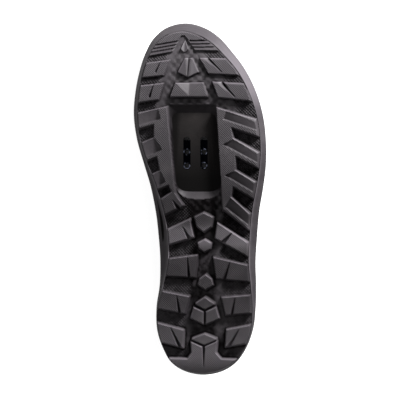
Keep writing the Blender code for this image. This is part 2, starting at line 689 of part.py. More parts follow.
for sx in (-1, 1):
    for sy in (-1, 1):
        x, y = SLOT_X + sx * BOLTS_X / 2, NUT_Y + sy * BOLTS_Y / 2
        for store, shapes, size, low_z, high_z in (
            (bosses, boss_faces, BOSS_D, plate_top - PLATE_T + 2 * GAP, nut_low + 0.8),
            (holes, hole_faces, HOLE_D, plate_top - PLATE_T - 1, plate_top + 1),
        ):
            p, f = round_prism(x, y, size, low_z, high_z)
            start = sum(len(c) for c in store)
            shapes += [[k + start for k in face] for face in f]
            store.append(p)
boolean(nut, thing("bosses", np.vstack(bosses), boss_faces, cutter=True), "UNION")
boolean(nut, thing("bolt_holes", np.vstack(holes), hole_faces, cutter=True), "DIFFERENCE")

# Insole, on the plate and inside the upper.
INSOLE_T = 4.0
insole = stack(
    "insole",
    [
        rand_ring(lambda y: GAP + 0 * y, -(WALL + GAP + 0.3)),
        rand_ring(lambda y: GAP + INSOLE_T + 0 * y, -(WALL + GAP + 0.4)),
    ],
    FOAM,
)

# Upper: a sheet from the feather line to the edge of collar and throat, thickened inwards.
steps = np.linspace(0, 1, UP)
rings = np.array([around(lambda a, s, k=k: upper_at(a, s, np.full(len(a), k))) for k in steps])
upper = grid("upper", rings, SKIN, closed=True)
face_outwards(upper, (5.0, 140.0, 40.0))
thicken(upper, WALL, False)

# Tongue: fills the throat from inside, out of sight under its edges, and stands past the collar.
TONGUE_T = 3.0
TONGUE_DIP = 2.2
TONGUE_UNDER = (0.84, 0.92, 1.0)
tongue_along = np.array([0.43, 0.46, 0.50, 0.55, 0.60, 0.65, 0.70, 0.75, 0.80, 0.86])
TONGUE_FRONT = ((0.91, 0.80), (0.945, 0.84), (0.975, 0.87), (1.0, 0.88))
under = WALL + GAP + 0.5


def inside(along, side, step, deep):
    a, s = np.array([along]), np.array([step])
    return (upper_at(a, side, s) - outward(a, side, s) * deep)[0]


def tongue_row(along):
    """Points across the tongue, which dips towards its front to pass under the end of the throat."""
    dip = TONGUE_DIP * max(0.0, (along - 0.7) / 0.16) ** 2
    lateral = [inside(along, -1, s, under + dip) for s in TONGUE_UNDER]
    medial = [inside(along, 1, s, under + dip) for s in TONGUE_UNDER][::-1]
    crown = (lateral[-1] + medial[0]) / 2 + np.array([0, 0, 1.6 * (1 - ((along - 0.43) / 0.45) ** 2)])
    return lateral + [crown] + medial


rows = [tongue_row(a) for a in tongue_along]
front = [inside(a, -1, s, under + TONGUE_DIP) for a, s in TONGUE_FRONT]
front += [inside(a, 1, s, under + TONGUE_DIP) for a, s in TONGUE_FRONT[-2::-1]]
rows.append(front)
rise = np.array([[0.0, -9.0, 6.5], [0.0, -16.0, 14.0]])
first = np.array(rows[0])
middle = first.mean(0)
for k, lift in enumerate(rise):
    narrow = np.array([0.78 - 0.06 * k, 1.0, 0.9 - 0.1 * k])
    rows.insert(0, list(middle + (first - middle) * narrow + lift))
tongue = grid("tongue", np.array(rows), TONGUE)
face_outwards(tongue, (5.0, 140.0, 0.0))
thicken(tongue, TONGUE_T, False)

# Straps: three bands that close over the throat, on the upper's own curve.
STRAP_T, STRAP_W = 1.8, 21.0
STRAPS = table("along from_step to_step", (0.755, 0.42, 0.55), (0.615, 0.42, 0.58), (0.500, 0.44, 0.62))


def strap_line(row, across):
    """One line of points over the foot, this far in front of the strap's middle."""
    points = []
    for side, stops in ((-1, row["from_step"]), (1, row["to_step"])):
        step = np.linspace(stops, 1.0, 9)
        along = row["along"] + across / (320.0 - 110.0 * step)
        line = upper_at(along, side, step) + outward(along, side, step) * (GAP + 0.15)
        points.append(line if side < 0 else line[::-1])
    a, b = points[0][-1], points[1][0]
    share = np.linspace(0, 1, 6)[1:-1, None]
    bridge = a + (b - a) * share + np.array([0, 0, 2.4]) * (4 * share * (1 - share))
    return np.vstack([points[0], bridge, points[1]])


for number, row in enumerate(rows_of(STRAPS), 1):
    lines = np.array([strap_line(row, w) for w in np.linspace(-STRAP_W / 2, STRAP_W / 2, 5)])
    strap = grid(f"strap_{number}", lines, STRAP)
    face_outwards(strap, (5.0, 140.0, 0.0))
    thicken(strap, STRAP_T, True)

# Pull loop: a tape that stands over the back of the collar, one end outside and one inside.
LOOP_W, LOOP_T = 12.0, 1.5
LOOP_BOW = 1.7  # how far the collar's inside curves in under half the loop's width
back = upper_at(np.zeros(5), 1, np.array([0.72, 0.8, 0.88, 0.95, 1.0]))[:, 1:]
outer_line = back - np.array([GAP + LOOP_T / 2, 0])
inner_line = back + np.array([WALL + GAP + LOOP_BOW + LOOP_T / 2, 0])
half = (inner_line[-1, 0] - outer_line[-1, 0]) / 2
turn = np.linspace(np.pi, 0, 9)
arc = np.column_stack([outer_line[-1, 0] + half + half * np.cos(turn), back[-1, 1] + 9.0 + half * np.sin(turn)])
path = np.vstack([outer_line, arc, inner_line[::-1][:4]])
direction = np.gradient(path, axis=0)
direction /= np.linalg.norm(direction, axis=1)[:, None]
normal = np.column_stack([-direction[:, 1], direction[:, 0]])
band = np.vstack([path + normal * LOOP_T / 2, (path - normal * LOOP_T / 2)[::-1]])
middle_x = float(upper_at(np.zeros(1), 1, np.ones(1))[0, 0])
sides = [np.column_stack([np.full(len(band), middle_x + LOOP_W / 2 * s), band]) for s in (-1, 1)]
pull_loop = prism("pull_loop", sides[0], sides[1], TAPE)

# The shoe lies on the facet of its hull that faces the inner ankle and lies under its centre of mass.
DENSITY = {"outsole": 1.12, "sole_plate": 1.1, "cleat_nut": 7.8, "insole": 0.25, "upper": 0.9}
graph = bpy.context.evaluated_depsgraph_get()
hull, mass, centre = bmesh.new(), 0.0, Vector((0, 0, 0))
for node in PARTS.objects:
    body = bmesh.new()
    body.from_object(node, graph)
    bmesh.ops.triangulate(body, faces=body.faces)
    for f in body.faces:
        a, b, c = (v.co for v in f.verts)
        weight = a.dot(b.cross(c)) / 6 * DENSITY.get(node.name, 1.0)
        mass += weight
        centre += (a + b + c) / 4 * weight
    for v in body.verts:
        hull.verts.new(v.co)
    body.free()
centre /= mass
kept = bmesh.ops.convex_hull(hull, input=hull.verts)
best, reach = None, 0.0
for f in hull.faces:
    if f.normal.x < 0.8:
        continue
    a, b, c = (v.co for v in f.verts)
    n = f.normal
    drop = centre + n * (a - centre).dot(n)
    inside_all = all((q - p).cross(drop - p).dot(n) >= 0 for p, q in ((a, b), (b, c), (c, a)))
    if inside_all and max(a.z, b.z, c.z) > reach:
        reach = max(a.z, b.z, c.z)
        best = (n.copy(), a.copy(), [tuple(round(x * 1000, 1) for x in p) for p in (a, b, c)])
hull.free()
down, touch, feet = best
print("rests on", feet, "centre of mass", [round(x * 1000, 1) for x in centre])
ahead = Vector((0, 1, 0)) - down * down.y
ahead.normalize()
up = -down
right = ahead.cross(up)
turned = Matrix((right, ahead, up)).to_4x4()
rest = bpy.data.objects.new("lying_shoe", None)
PARTS.objects.link(rest)
for node in list(PARTS.objects) + list(CUTTERS.objects):
    if node is not rest:
        node.parent = rest
low_corner, high_corner = np.full(3, np.inf), np.full(3, -np.inf)
for node in PARTS.objects:
    if node is rest:
        continue
    body = bmesh.new()
    body.from_object(node, graph)
    for v in body.verts:
        p = np.array(turned @ v.co)
        low_corner, high_corner = np.minimum(low_corner, p), np.maximum(high_corner, p)
    body.free()
shift = Vector((-(low_corner[0] + high_corner[0]) / 2, -(low_corner[1] + high_corner[1]) / 2, -low_corner[2]))
rest.matrix_world = Matrix.Translation(shift) @ turned
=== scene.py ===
"""The looks of a left off-road cycling shoe that lies on its inner side and is seen from under its sole.

Shapes are worked out upright in the shoe's own frame, in millimetres: X towards the inner ankle, Y towards
the toe, Z up from the ground. lay_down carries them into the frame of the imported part, where the shoe lies.
"""

import json

import bpy
import numpy as np
from mathutils import Matrix


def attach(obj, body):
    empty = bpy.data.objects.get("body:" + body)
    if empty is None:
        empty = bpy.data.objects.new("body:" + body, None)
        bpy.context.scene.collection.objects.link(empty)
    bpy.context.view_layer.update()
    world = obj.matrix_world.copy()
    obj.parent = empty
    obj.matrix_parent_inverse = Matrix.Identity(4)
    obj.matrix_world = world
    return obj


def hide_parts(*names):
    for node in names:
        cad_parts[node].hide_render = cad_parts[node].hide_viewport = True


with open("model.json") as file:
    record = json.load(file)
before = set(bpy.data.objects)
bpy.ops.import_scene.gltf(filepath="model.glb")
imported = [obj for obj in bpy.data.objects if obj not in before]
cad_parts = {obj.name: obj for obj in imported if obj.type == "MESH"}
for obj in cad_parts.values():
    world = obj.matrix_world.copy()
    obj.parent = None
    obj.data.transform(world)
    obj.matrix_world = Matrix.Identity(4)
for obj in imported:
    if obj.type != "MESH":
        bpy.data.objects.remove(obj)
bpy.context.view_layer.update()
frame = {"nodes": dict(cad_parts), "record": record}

# Outsole tread. The outsole is one piece of black rubber, moulded in a press and glued on: flat lugs and
# bars with chamfers, sunk facets and tapered slits, a knurled floor between them, and the cleat's recess.

# The cleat's seat faces along the shoe's down direction, the nut slides along its length, and the seat's
# own point ties the shoe's upright frame to the one in which it lies.
seat = next(m for m in frame["record"]["mounts"] if m["name"] == "cleat_seat")
slide = frame["record"]["behaviour"]["joints"][0]
up_way, ahead_way = -np.array(seat["axis"]), np.array(slide["axis"])
TURN = np.column_stack([np.cross(ahead_way, up_way), ahead_way, up_way])
SEAT_AT = np.array([8.6, 178.9, 8.3])
SHIFT = np.array(seat["pos_m"]) - TURN @ SEAT_AT * 0.001


def lay_down(points):
    """Points in the shoe's millimetres, turned and moved to where the shoe lies, in metres."""
    return np.asarray(points, float) * 0.001 @ TURN.T + SHIFT


def table(names, *rows):
    """Named columns from rows of numbers."""
    return dict(zip(names.split(), np.array(rows, float).T))


def rows_of(data):
    """The rows of a table, each with its columns' names."""
    return [{k: float(v[i]) for k, v in data.items()} for i in range(len(next(iter(data.values()))))]


def smooth(x, xs, ys):
    """Cubic through the points that never overshoots them, held flat past both ends."""
    xs, ys = np.asarray(xs, float), np.asarray(ys, float)
    x = np.clip(np.asarray(x, float), xs[0], xs[-1])
    step, slope = np.diff(xs), np.diff(ys) / np.diff(xs)
    bend = np.zeros_like(ys)
    with np.errstate(divide="ignore", invalid="ignore"):
        mean = (step[1:] + step[:-1]) / (step[:-1] / slope[:-1] + step[1:] / slope[1:])
    bend[1:-1] = np.where(slope[1:] * slope[:-1] > 0, mean, 0.0)
    bend[0], bend[-1] = slope[0], slope[-1]
    i = np.clip(np.searchsorted(xs, x) - 1, 0, len(xs) - 2)
    t = (x - xs[i]) / step[i]
    start = ys[i] * (1 + 2 * t) * (1 - t) ** 2 + step[i] * t * (1 - t) ** 2 * bend[i]
    return start + ys[i + 1] * t**2 * (3 - 2 * t) - step[i] * t**2 * (1 - t) * bend[i + 1]


def unit(way):
    """The same directions, each made one long."""
    return way / np.linalg.norm(way, axis=-1)[..., None]


def ease(x, start, end):
    """0 before start, 1 after end, and a smooth S between them."""
    t = np.clip((x - start) / (end - start), 0, 1)
    return t * t * (3 - 2 * t)


# The sole's widest line from heel to toe, and how far in from it the side wall meets the tread.
OUTLINE = table(
    "y medial lateral in_medial in_lateral",
    (3.7, 23.3, -17.3, 1.6, 1.0),
    (9.0, 29.5, -24.2, 1.6, 0.6),
    (18.5, 35.1, -31.2, 1.7, 0.5),
    (33.0, 40.3, -37.2, 1.9, 0.6),
    (53.0, 41.3, -40.1, 2.2, 1.7),
    (72.0, 38.8, -40.4, 4.6, 3.2),
    (92.0, 38.9, -39.7, 8.5, 4.6),
    (111.0, 40.5, -40.7, 9.5, 5.0),
    (131.0, 42.4, -42.7, 8.0, 4.8),
    (150.0, 45.8, -46.1, 6.0, 4.4),
    (170.0, 51.7, -48.5, 4.4, 3.8),
    (190.0, 57.5, -48.4, 4.2, 3.6),
    (209.0, 60.2, -46.1, 4.6, 4.0),
    (229.0, 59.2, -40.1, 4.8, 4.6),
    (249.0, 55.8, -29.6, 5.0, 5.2),
    (262.0, 52.2, -19.5, 5.6, 6.0),
    (274.6, 45.8, -7.9, 6.6, 7.0),
    (282.0, 38.0, 3.0, 7.4, 7.6),
)
HEEL_TIP, TOE_TIP = (4.2, -1.9), (21.6, 286.8)
LUG_H, SHEET_T, PLATE_T, GAP = 5.0, 3.0, 4.0, 0.3
BALL_FLAT, HEEL_FLAT = (150.0, 212.0), (14.0, 67.0)
TOE_SPRING, TOE_POWER, HEEL_BEVEL, ARCH_RISE = 20.0, 1.7, 4.0, 5.0


def ground(y):
    """Underside of the tread: two flats, a sine-squared arch, and power curves at heel and toe."""
    bevel = HEEL_BEVEL * (np.clip(HEEL_FLAT[0] - y, 0, None) / HEEL_FLAT[0]) ** 2
    way = np.clip((y - HEEL_FLAT[1]) / (BALL_FLAT[0] - HEEL_FLAT[1]), 0, 1)
    past = np.clip(y - BALL_FLAT[1], 0, None) / (TOE_TIP[1] - BALL_FLAT[1])
    return bevel + ARCH_RISE * np.sin(np.pi * way) ** 2 + TOE_SPRING * past**TOE_POWER


def floor_deep(y):
    """Depth of the floor between the lugs, which grows shallow towards the toe."""
    return smooth(y, (0, 205, 222, 240, 258, 276), (5.0, 5.0, 4.3, 3.3, 2.5, 1.6))


def widest_line(count=600):
    """Both halves of the sole's widest line: cubic curves through the outline's rows with slopes taken from
    the neighbours, as x, y, set-in and inward normal, at the same y in both halves."""
    o = OUTLINE
    lateral = np.stack([o["lateral"], o["y"], o["in_lateral"]], 1)
    medial = np.stack([o["medial"], o["y"], o["in_medial"]], 1)[::-1]
    p = np.vstack([[*HEEL_TIP, o["in_medial"][0]], lateral, [*TOE_TIP, o["in_medial"][-1]], medial])
    toe, n = len(lateral) + 1, len(p)
    gap = np.linalg.norm(np.diff(np.vstack([p, p[:1]])[:, :2], axis=0), axis=1)
    at = np.concatenate([[0], np.cumsum(gap)])
    before, after = gap[np.arange(n) - 1][:, None], gap[:, None]
    into, out = (p - p[np.arange(n) - 1]) / before, (p[(np.arange(n) + 1) % n] - p) / after
    tangent = (into * after + out * before) / (before + after)
    halves = []
    for start, end in ((0.0, at[toe]), (at[-1], at[toe])):
        s = np.linspace(start, end, count + 1)
        i = np.clip(np.searchsorted(at, s, "right") - 1, 0, n - 1)
        j, h, t = (i + 1) % n, gap[i][:, None], ((s - at[i]) / gap[i])[:, None]
        point = p[i] * (1 + 2 * t) * (1 - t) ** 2 + p[j] * t**2 * (3 - 2 * t)
        point += h * t * (1 - t) * (tangent[i] * (1 - t) - tangent[j] * t)
        along = unit(np.gradient(point[:, :2], axis=0) * (1 if end > start else -1))
        halves.append(np.hstack([point, np.stack([along[:, 1], -along[:, 0]], 1)]))
    level = (halves[0][:, 1] + halves[1][:, 1]) / 2
    columns = [[np.interp(level, h[:, 1], h[:, k]) for k in range(5)] for h in halves]
    return np.array(columns).transpose(0, 2, 1)


LINE = widest_line()


def outline(along, side):
    """x, y, set-in and inward normal at a share of the way from heel to toe, side -1 lateral, 1 medial."""
    half = LINE[0 if side < 0 else 1]
    return np.stack([np.interp(along, np.linspace(0, 1, len(half)), half[:, k]) for k in range(5)], -1)


def edge_x(y, side, more=0.0):
    """x of the tread's edge at this y, set further in by more."""
    half = LINE[0 if side < 0 else 1]
    line = half[:, :2] + half[:, 3:] * (half[:, 2] + more)[:, None]
    return np.interp(y, line[:, 1], line[:, 0])


# Side lugs: y of the four corners and x of the inner ones, the width of the chamfer on the front edge, and
# the slit from its tip to its wide end with the half width there.
LUGS = table(
    "side front_out front_in rear_in rear_out x_front x_rear chamfer tip_x tip_y end_x end_y end_r",
    (1, 252.4, 254.8, 242.1, 240.5, 30.1, 34.4, 1.0, 37.2, 254.0, 40.9, 245.1, 0.75),
    (-1, 255.4, 256.0, 243.2, 241.8, 5.1, -2.6, 1.4, -13.3, 244.4, -1.6, 255.9, 0.90),
    (1, 233.7, 235.7, 222.2, 219.9, 34.2, 38.2, 0.8, 42.3, 234.6, 45.4, 224.8, 0.95),
    (-1, 234.8, 236.4, 223.7, 220.6, -5.9, -10.9, 1.6, -24.6, 223.4, -14.0, 235.6, 1.10),
    (1, 117.0, 125.5, 110.8, 104.9, 12.6, 9.8, 1.0, 18.2, 118.6, 13.0, 108.6, 1.60),
    (-1, 106.5, 122.5, 110.0, 95.5, -9.9, -8.0, 0.7, -21.9, 114.4, -14.4, 106.3, 1.70),
    (1, 93.4, 96.4, 78.3, 79.3, 6.3, 8.1, 0.5, 14.6, 94.4, 13.0, 77.6, 1.35),
    (-1, 88.4, 94.7, 77.3, 75.2, -6.4, -9.5, 0.5, -20.1, 90.4, -15.4, 75.6, 1.45),
    (1, 67.0, 62.9, 48.8, 52.9, 12.4, 16.4, 0.4, 22.9, 64.0, 20.5, 49.0, 1.10),
    (-1, 64.3, 62.3, 47.9, 50.0, -13.6, -17.1, 0.4, -24.7, 61.8, -22.0, 48.0, 1.10),
    (1, 41.3, 35.8, 21.2, 25.6, 17.1, 17.9, 0.4, 27.8, 37.4, 20.0, 21.6, 1.30),
    (-1, 40.2, 36.4, 22.1, 25.2, -17.8, -16.7, 0.4, -27.8, 36.2, -19.2, 21.4, 1.20),
)
# Blocks on the middle line, by the y and the half width of their corners, and their sideways place.
BLOCKS = table(
    "front half_front high half_high low half_low rear half_rear x",
    (271.1, 0.0, 265.0, 2.6, 263.4, 3.1, 261.3, 0.6, 18.0),
    (256.0, 3.2, 250.5, 5.7, 244.6, 8.4, 240.4, 0.0, 14.2),
    (235.6, 11.5, 230.0, 13.4, 225.4, 15.0, 224.3, 15.2, 13.0),
    (130.6, 0.0, 126.9, 7.7, 119.2, 5.7, 115.0, 0.0, 1.2),
    (108.7, 0.0, 106.0, 5.5, 101.3, 4.4, 98.6, 0.0, 0.6),
    (80.7, 0.0, 77.0, 5.1, 72.1, 6.3, 68.3, 0.0, -0.7),
    (62.5, 0.0, 57.6, 7.4, 56.3, 7.6, 52.4, 0.0, -0.2),
    (32.9, 0.0, 29.0, 9.8, 27.8, 9.9, 23.7, 0.0, 0.3),
)
TOE_REAR = ((46.0, 258.7), (28.0, 261.7), (21.5, 275.0), (18.2, 275.0), (9.1, 262.7), (-10.2, 262.7))
HEEL_FRONT = (
    (14.0, 12.4),
    (10.6, 17.4),
    (11.3, 26.4),
    (0.7, 21.8),
    (-10.0, 26.8),
    (-9.2, 17.6),
    (-13.4, 12.5),
)
SLIT_TIP = 0.1  # half width of every slit at its tip
HEEL_SLIT = (0.8, 6.6, 0.8, 21.6, SLIT_TIP, 1.05)
# Bars of the comb on each side of the recess, front one first: their corners, the point of the sunk facet
# near the rail, the y where its ridge leaves the bar, and the widths of the front and the outer chamfer.
BARS = table(
    "side front_out front_in x_front rear_out rear_in x_rear tip_x tip_y ridge_out chamfer outer",
    (1, 211.3, 215.9, 31.4, 198.6, 202.2, 41.3, 36.1, 206.4, 200.2, 0.8, 0.6),
    (1, 187.2, 191.4, 41.5, 172.8, 176.3, 38.9, 34.8, 181.6, 174.6, 0.8, 0.6),
    (1, 161.8, 164.8, 36.5, 149.4, 152.9, 29.4, 32.0, 155.6, 150.2, 0.8, 0.6),
    (1, 141.5, 147.4, 27.0, 129.1, 133.4, 23.4, 0.0, 0.0, 0.0, 1.0, 0.6),
    (-1, 205.8, 214.6, -9.6, 192.0, 199.4, -21.4, -15.2, 205.8, 195.8, 2.4, 1.7),
    (-1, 179.0, 190.6, -23.4, 166.6, 176.4, -25.1, -15.0, 185.3, 169.6, 2.0, 1.6),
    (-1, 155.3, 165.0, -25.0, 142.3, 151.8, -23.0, -16.3, 160.6, 146.4, 2.0, 1.6),
    (-1, 129.6, 143.4, -21.5, 116.9, 132.1, -15.8, -16.4, 134.8, 119.4, 1.6, 1.2),
)
RAIL = table(
    "side x_front y_front x_rear y_rear",
    (1, 31.0, 216.4, 24.2, 146.4),
    (-1, -9.6, 215.4, -14.6, 132.1),
)
FINGER = ((26.3, 140.6), (19.7, 134.4), (17.6, 136.6), (21.4, 142.1))
FORK = table(
    "side x_in front_y x_out out_y x_low low_y rear_y",
    (1, 1.0, 50.7, 9.0, 54.4, 11.8, 45.3, 40.4),
    (-1, -1.0, 50.7, -9.3, 54.4, -12.1, 45.3, 40.4),
)
RECESS_MOUTH = ((30.6, 218.4), (-9.0, 218.2), (-14.2, 141.6), (23.6, 141.6))
RECESS_FLOOR = ((27.8, 210.6), (-8.2, 210.6), (-12.6, 148.6), (24.2, 148.6))
RECESS_IN = 0.9  # how far the recess's sides reach past the rubber's sheet
SLOTS_OPEN = ((-3.5, 21.0), (161.0, 197.0))  # x and y between which the recess has no floor of its own
LUG_IN = 0.1  # from the tread's edge to a lug's foot
DRAFT = 0.9  # how far a lug's side spreads on its way down to the floor
ROUNDED = 0.45  # softened edge on top of each lug
FACET_DEEP, SLIT_DEEP = 2.7, 4.2
LOUVRE, LOUVRE_DEEP = 2.75, 2.1  # spacing and depth of the ribs across the toe


def polygon_distance(x, y, corners):
    """Distance to the polygon's nearest edge, negative inside: the least distance to its edges, its sign
    from how often a line along X crosses them."""
    p = np.asarray(corners, float)
    near, inside = np.full(x.shape, 1e9), np.zeros(x.shape, bool)
    for (ax, ay), (bx, by) in zip(p, np.roll(p, -1, axis=0)):
        ex, ey = bx - ax, by - ay
        t = np.clip(((x - ax) * ex + (y - ay) * ey) / (ex * ex + ey * ey + 1e-12), 0, 1)
        near = np.minimum(near, (x - ax - t * ex) ** 2 + (y - ay - t * ey) ** 2)
        cross = (ay > y) != (by > y)
        inside ^= cross & (x < ax + (y - ay) / (ey if ey else 1e-12) * ex)
    return np.where(inside, -1, 1) * np.sqrt(near)


def rounded(corners, radii, steps=6):
    """A polygon with each corner turned on a parabola that starts and ends this far from it."""
    p = np.array(corners, float)
    made = []
    for k, radius in enumerate(radii):
        a, b, c = p[k - 1], p[k], p[(k + 1) % len(p)]
        start = b + (a - b) / np.linalg.norm(a - b) * radius
        end = b + (c - b) / np.linalg.norm(c - b) * radius
        t = np.linspace(0, 1, steps + 1)[:, None]
        made.append(start * (1 - t) ** 2 + b * 2 * t * (1 - t) + end * t**2)
    return np.vstack(made)


def slit_distance(x, y, ax, ay, bx, by, ra, rb):
    """Distance to a tapered slit from a to b whose half width goes from ra to rb, negative inside."""
    ex, ey = bx - ax, by - ay
    t = np.clip(((x - ax) * ex + (y - ay) * ey) / (ex * ex + ey * ey), 0, 1)
    return np.hypot(x - ax - t * ex, y - ay - t * ey) - (ra + (rb - ra) * t)


def beside(x, y, a, b, wide):
    """1 on the line from a to b, falling to 0 this far to the side of it, for chamfers along an edge."""
    (ax, ay), (bx, by) = a, b
    length = np.hypot(bx - ax, by - ay)
    return np.clip(1 - np.abs((x - ax) * (ay - by) + (y - ay) * (bx - ax)) / length / wide, 0, 1)


def lug_profile(distance):
    """Depth below a lug's face by the distance from its edge: rounded edge, steep side and small foot."""
    reach = (-ROUNDED, -0.15, 0.1, DRAFT * 0.85, DRAFT + 0.5)
    return np.interp(distance, reach, (0, 0.12, 0.6, 4.5, LUG_H))


def lug_corners(row):
    """Corners of a side lug, its outer ones on the tread's edge."""
    s, mid = row["side"], (row["front_out"] + row["rear_out"]) / 2
    outer = [(edge_x(y, s, LUG_IN + DRAFT), y) for y in (row["front_out"], mid, row["rear_out"])]
    return [(row["x_front"], row["front_in"]), *outer, (row["x_rear"], row["rear_in"])]


def block_corners(row):
    """Corners of a middle block, the same on both sides of its own line."""
    right = [(row["x"] + row[f"half_{k}"], row[k]) for k in ("front", "high", "low", "rear")]
    left = [(2 * row["x"] - x, y) for x, y in right[::-1]]
    corners = right + left
    return [c for k, c in enumerate(corners) if c != corners[k - 1]]


def comb_corners(side):
    """One polygon: down the rail's inner edge and back over the bars and the windows between them."""
    rail = next(r for r in rows_of(RAIL) if r["side"] == side)
    corners = [(rail["x_rear"], rail["y_rear"]), (rail["x_front"], rail["y_front"])]
    for k, row in enumerate(r for r in rows_of(BARS) if r["side"] == side):
        if k:
            corners.append((row["x_front"], row["front_in"]))
        ends = (row["front_out"], row["rear_out"])
        corners += [(edge_x(y, side, LUG_IN + DRAFT), y) for y in ends] + [(row["x_rear"], row["rear_in"])]
    return corners + list(FINGER) if side > 0 else corners


def edge_run(side, start, end):
    """Points along the tread's edge between two shares of the way from heel to toe."""
    foot = outline(np.linspace(start, end, 16), side)
    return (foot[:, :2] + foot[:, 3:] * (foot[:, 2:3] + LUG_IN + DRAFT)).tolist()


def toe_share(y, side):
    """Share of the way from heel to toe at which the tread's edge has this y."""
    half = LINE[0 if side < 0 else 1]
    return np.interp(y, half[:, 1] + half[:, 4] * (half[:, 2] + LUG_IN), np.linspace(0, 1, len(half)))


heel_corners = list(HEEL_FRONT) + edge_run(-1, 0.0, 0.096)[::-1] + edge_run(1, 0.0, 0.096)
toe_corners = edge_run(-1, toe_share(TOE_REAR[-1][1], -1), 0.999)
toe_corners += edge_run(1, toe_share(TOE_REAR[0][1], 1), 0.999)[::-1] + list(TOE_REAR[1:-1])


def tread(x, y):
    """Depth of the rubber over the ground line at each point: the least over all lugs of their profile,
    each deepened by its chamfers, facets, slits and ribs, and then the recess. Also the share of the way
    down the recess's slope, -1 outside it, and the distance to the nearest lug."""
    deep, apart = np.full(x.shape, LUG_H), np.full(x.shape, 3.0)

    def add(corners, cut=None):
        p = np.array(corners, float)
        near = (np.abs(x - (p[:, 0].min() + p[:, 0].max()) / 2) < np.ptp(p[:, 0]) / 2 + 3) & (
            np.abs(y - (p[:, 1].min() + p[:, 1].max()) / 2) < np.ptp(p[:, 1]) / 2 + 3
        )
        u, v = x[near], y[near]
        d = polygon_distance(u, v, p)
        h = lug_profile(d)
        apart[near] = np.minimum(apart[near], d)
        if cut is not None:
            h = np.maximum(h, np.minimum(cut(u, v), LUG_H))
        deep[near] = np.minimum(deep[near], h)

    for row in rows_of(LUGS):
        corners = lug_corners(row)

        def cut(u, v, row=row, c=corners):
            """Front chamfer, tapered slit, and on the front right lugs a slope that falls into the slit."""
            front = 0.55 * row["chamfer"] * beside(u, v, c[0], c[1], row["chamfer"])
            ends = (row[k] for k in ("tip_x", "tip_y", "end_x", "end_y"))
            slit = slit_distance(u, v, *ends, SLIT_TIP, row["end_r"])
            h = np.maximum(front, SLIT_DEEP * ease(-slit, -0.35, 0.75))
            if row["side"] < 0 and row["front_out"] > 200:
                top, foot = (row["end_x"] + 5.4, row["end_y"]), (row["tip_x"] + 1.6, row["tip_y"] + 0.6)
                slope = [top, (row["end_x"] + 0.4, row["end_y"] + 0.6), (row["tip_x"], row["tip_y"])]
                away = 1 - beside(u, v, top, foot, 5.0)
                h = np.maximum(h, 3.2 * away * ease(-polygon_distance(u, v, slope), -0.2, 0.4))
            return h

        add(corners, cut)
    for row in rows_of(BLOCKS):

        def cut(u, v, row=row):
            """Kite and pentagon with a groove, and trapezoid with two planes that meet in a valley."""
            off = np.abs(u - row["x"])
            if row["front"] > 270:
                return 1.0 - 0.32 * off
            if row["front"] > 250:
                groove = 1 - np.abs(u - row["x"] - 0.4) / (0.35 + 0.10 * np.clip(v - 241, 0, None))
                return 1.9 * np.clip(groove, 0, 1) + 0.10 * off
            if row["front"] > 230:
                return 0.27 * np.clip((v - row["rear"] - 0.6) * 1.06 - off, 0, 12)
            return 0.0 * u

        add(block_corners(row), cut)
    for row in rows_of(FORK):
        corners = ("x_in", "front_y"), ("x_out", "out_y"), ("x_low", "low_y"), ("x_in", "rear_y")
        add([(row[a], row[b]) for a, b in corners])
    for side in (1, -1):
        bars = [r for r in rows_of(BARS) if r["side"] == side]

        def cut(u, v, bars=bars, side=side):
            """Chamfers on each bar's front and outer edge, and a facet that sinks from the front edge to a
            ridge line, where a small wall climbs back to the bar's face."""
            h = np.zeros(u.shape)
            for r in bars:
                out_x = [edge_x(r[k], side) for k in ("front_out", "rear_out")]
                inner = (r["x_front"], r["front_in"])
                if r is bars[0]:
                    inner = (r["tip_x"] + side * 2.5, r["front_in"] - 0.9)
                t = np.clip((u - inner[0]) / (out_x[0] - inner[0]), 0, 1)
                wide = r["chamfer"] * (0.35 + 0.9 * t)
                front = beside(u, v, inner, (out_x[0], r["front_out"]), wide)
                over = (v < r["front_in"] + 3) & (v > r["rear_out"] - 1) & ((u - inner[0]) * side > -0.5)
                h = np.maximum(h, np.where(over, 0.62 * wide * front, 0))
                band = (v < r["front_out"] + 1.5) & (v > r["rear_out"] - 0.5)
                rim = np.clip(1 - (edge_x(v, side, LUG_IN + DRAFT) - u) * side / r["outer"], 0, 1)
                h = np.maximum(h, np.where(band, 0.8 * r["outer"] * rim, 0))
                if r["ridge_out"] == 0:
                    continue
                start = (inner[0] - side * 0.5, inner[1] - r["chamfer"] * 0.6)
                end = (out_x[0], r["front_out"] - r["chamfer"] * 0.6)
                facet = [start, end, (out_x[1], r["ridge_out"]), (r["tip_x"], r["tip_y"])]
                ex, ey = end[0] - start[0], end[1] - start[1]
                far = abs((r["tip_y"] - start[1]) * ex - (r["tip_x"] - start[0]) * ey) / np.hypot(ex, ey)
                away = np.clip(1.0 - 0.85 * beside(u, v, start, end, far), 0, 1)
                sunk = FACET_DEEP * away * (1 - 0.8 * t)
                h = np.maximum(h, sunk * ease(-polygon_distance(u, v, facet), -0.15, 0.45))
            return h

        add(comb_corners(side), cut)
    add(heel_corners, lambda u, v: SLIT_DEEP * ease(-slit_distance(u, v, *HEEL_SLIT), -0.35, 0.7))

    def louvres(u, v):
        """Three saw-toothed ribs across each wing of the toe, deepest at each rib's front."""
        left = u > 20
        k = (v - np.where(left, 261.9 - (u - 28) * 0.167, 262.9)) / LOUVRE
        wing = np.where(left, u > 26.0 - (v - 262) * 0.36, u < 11.0 + (v - 262.7) * 0.42)
        return np.where((k > 0.1) & (k < 3.1) & wing, LOUVRE_DEEP * (k % 1.0), 0.0)

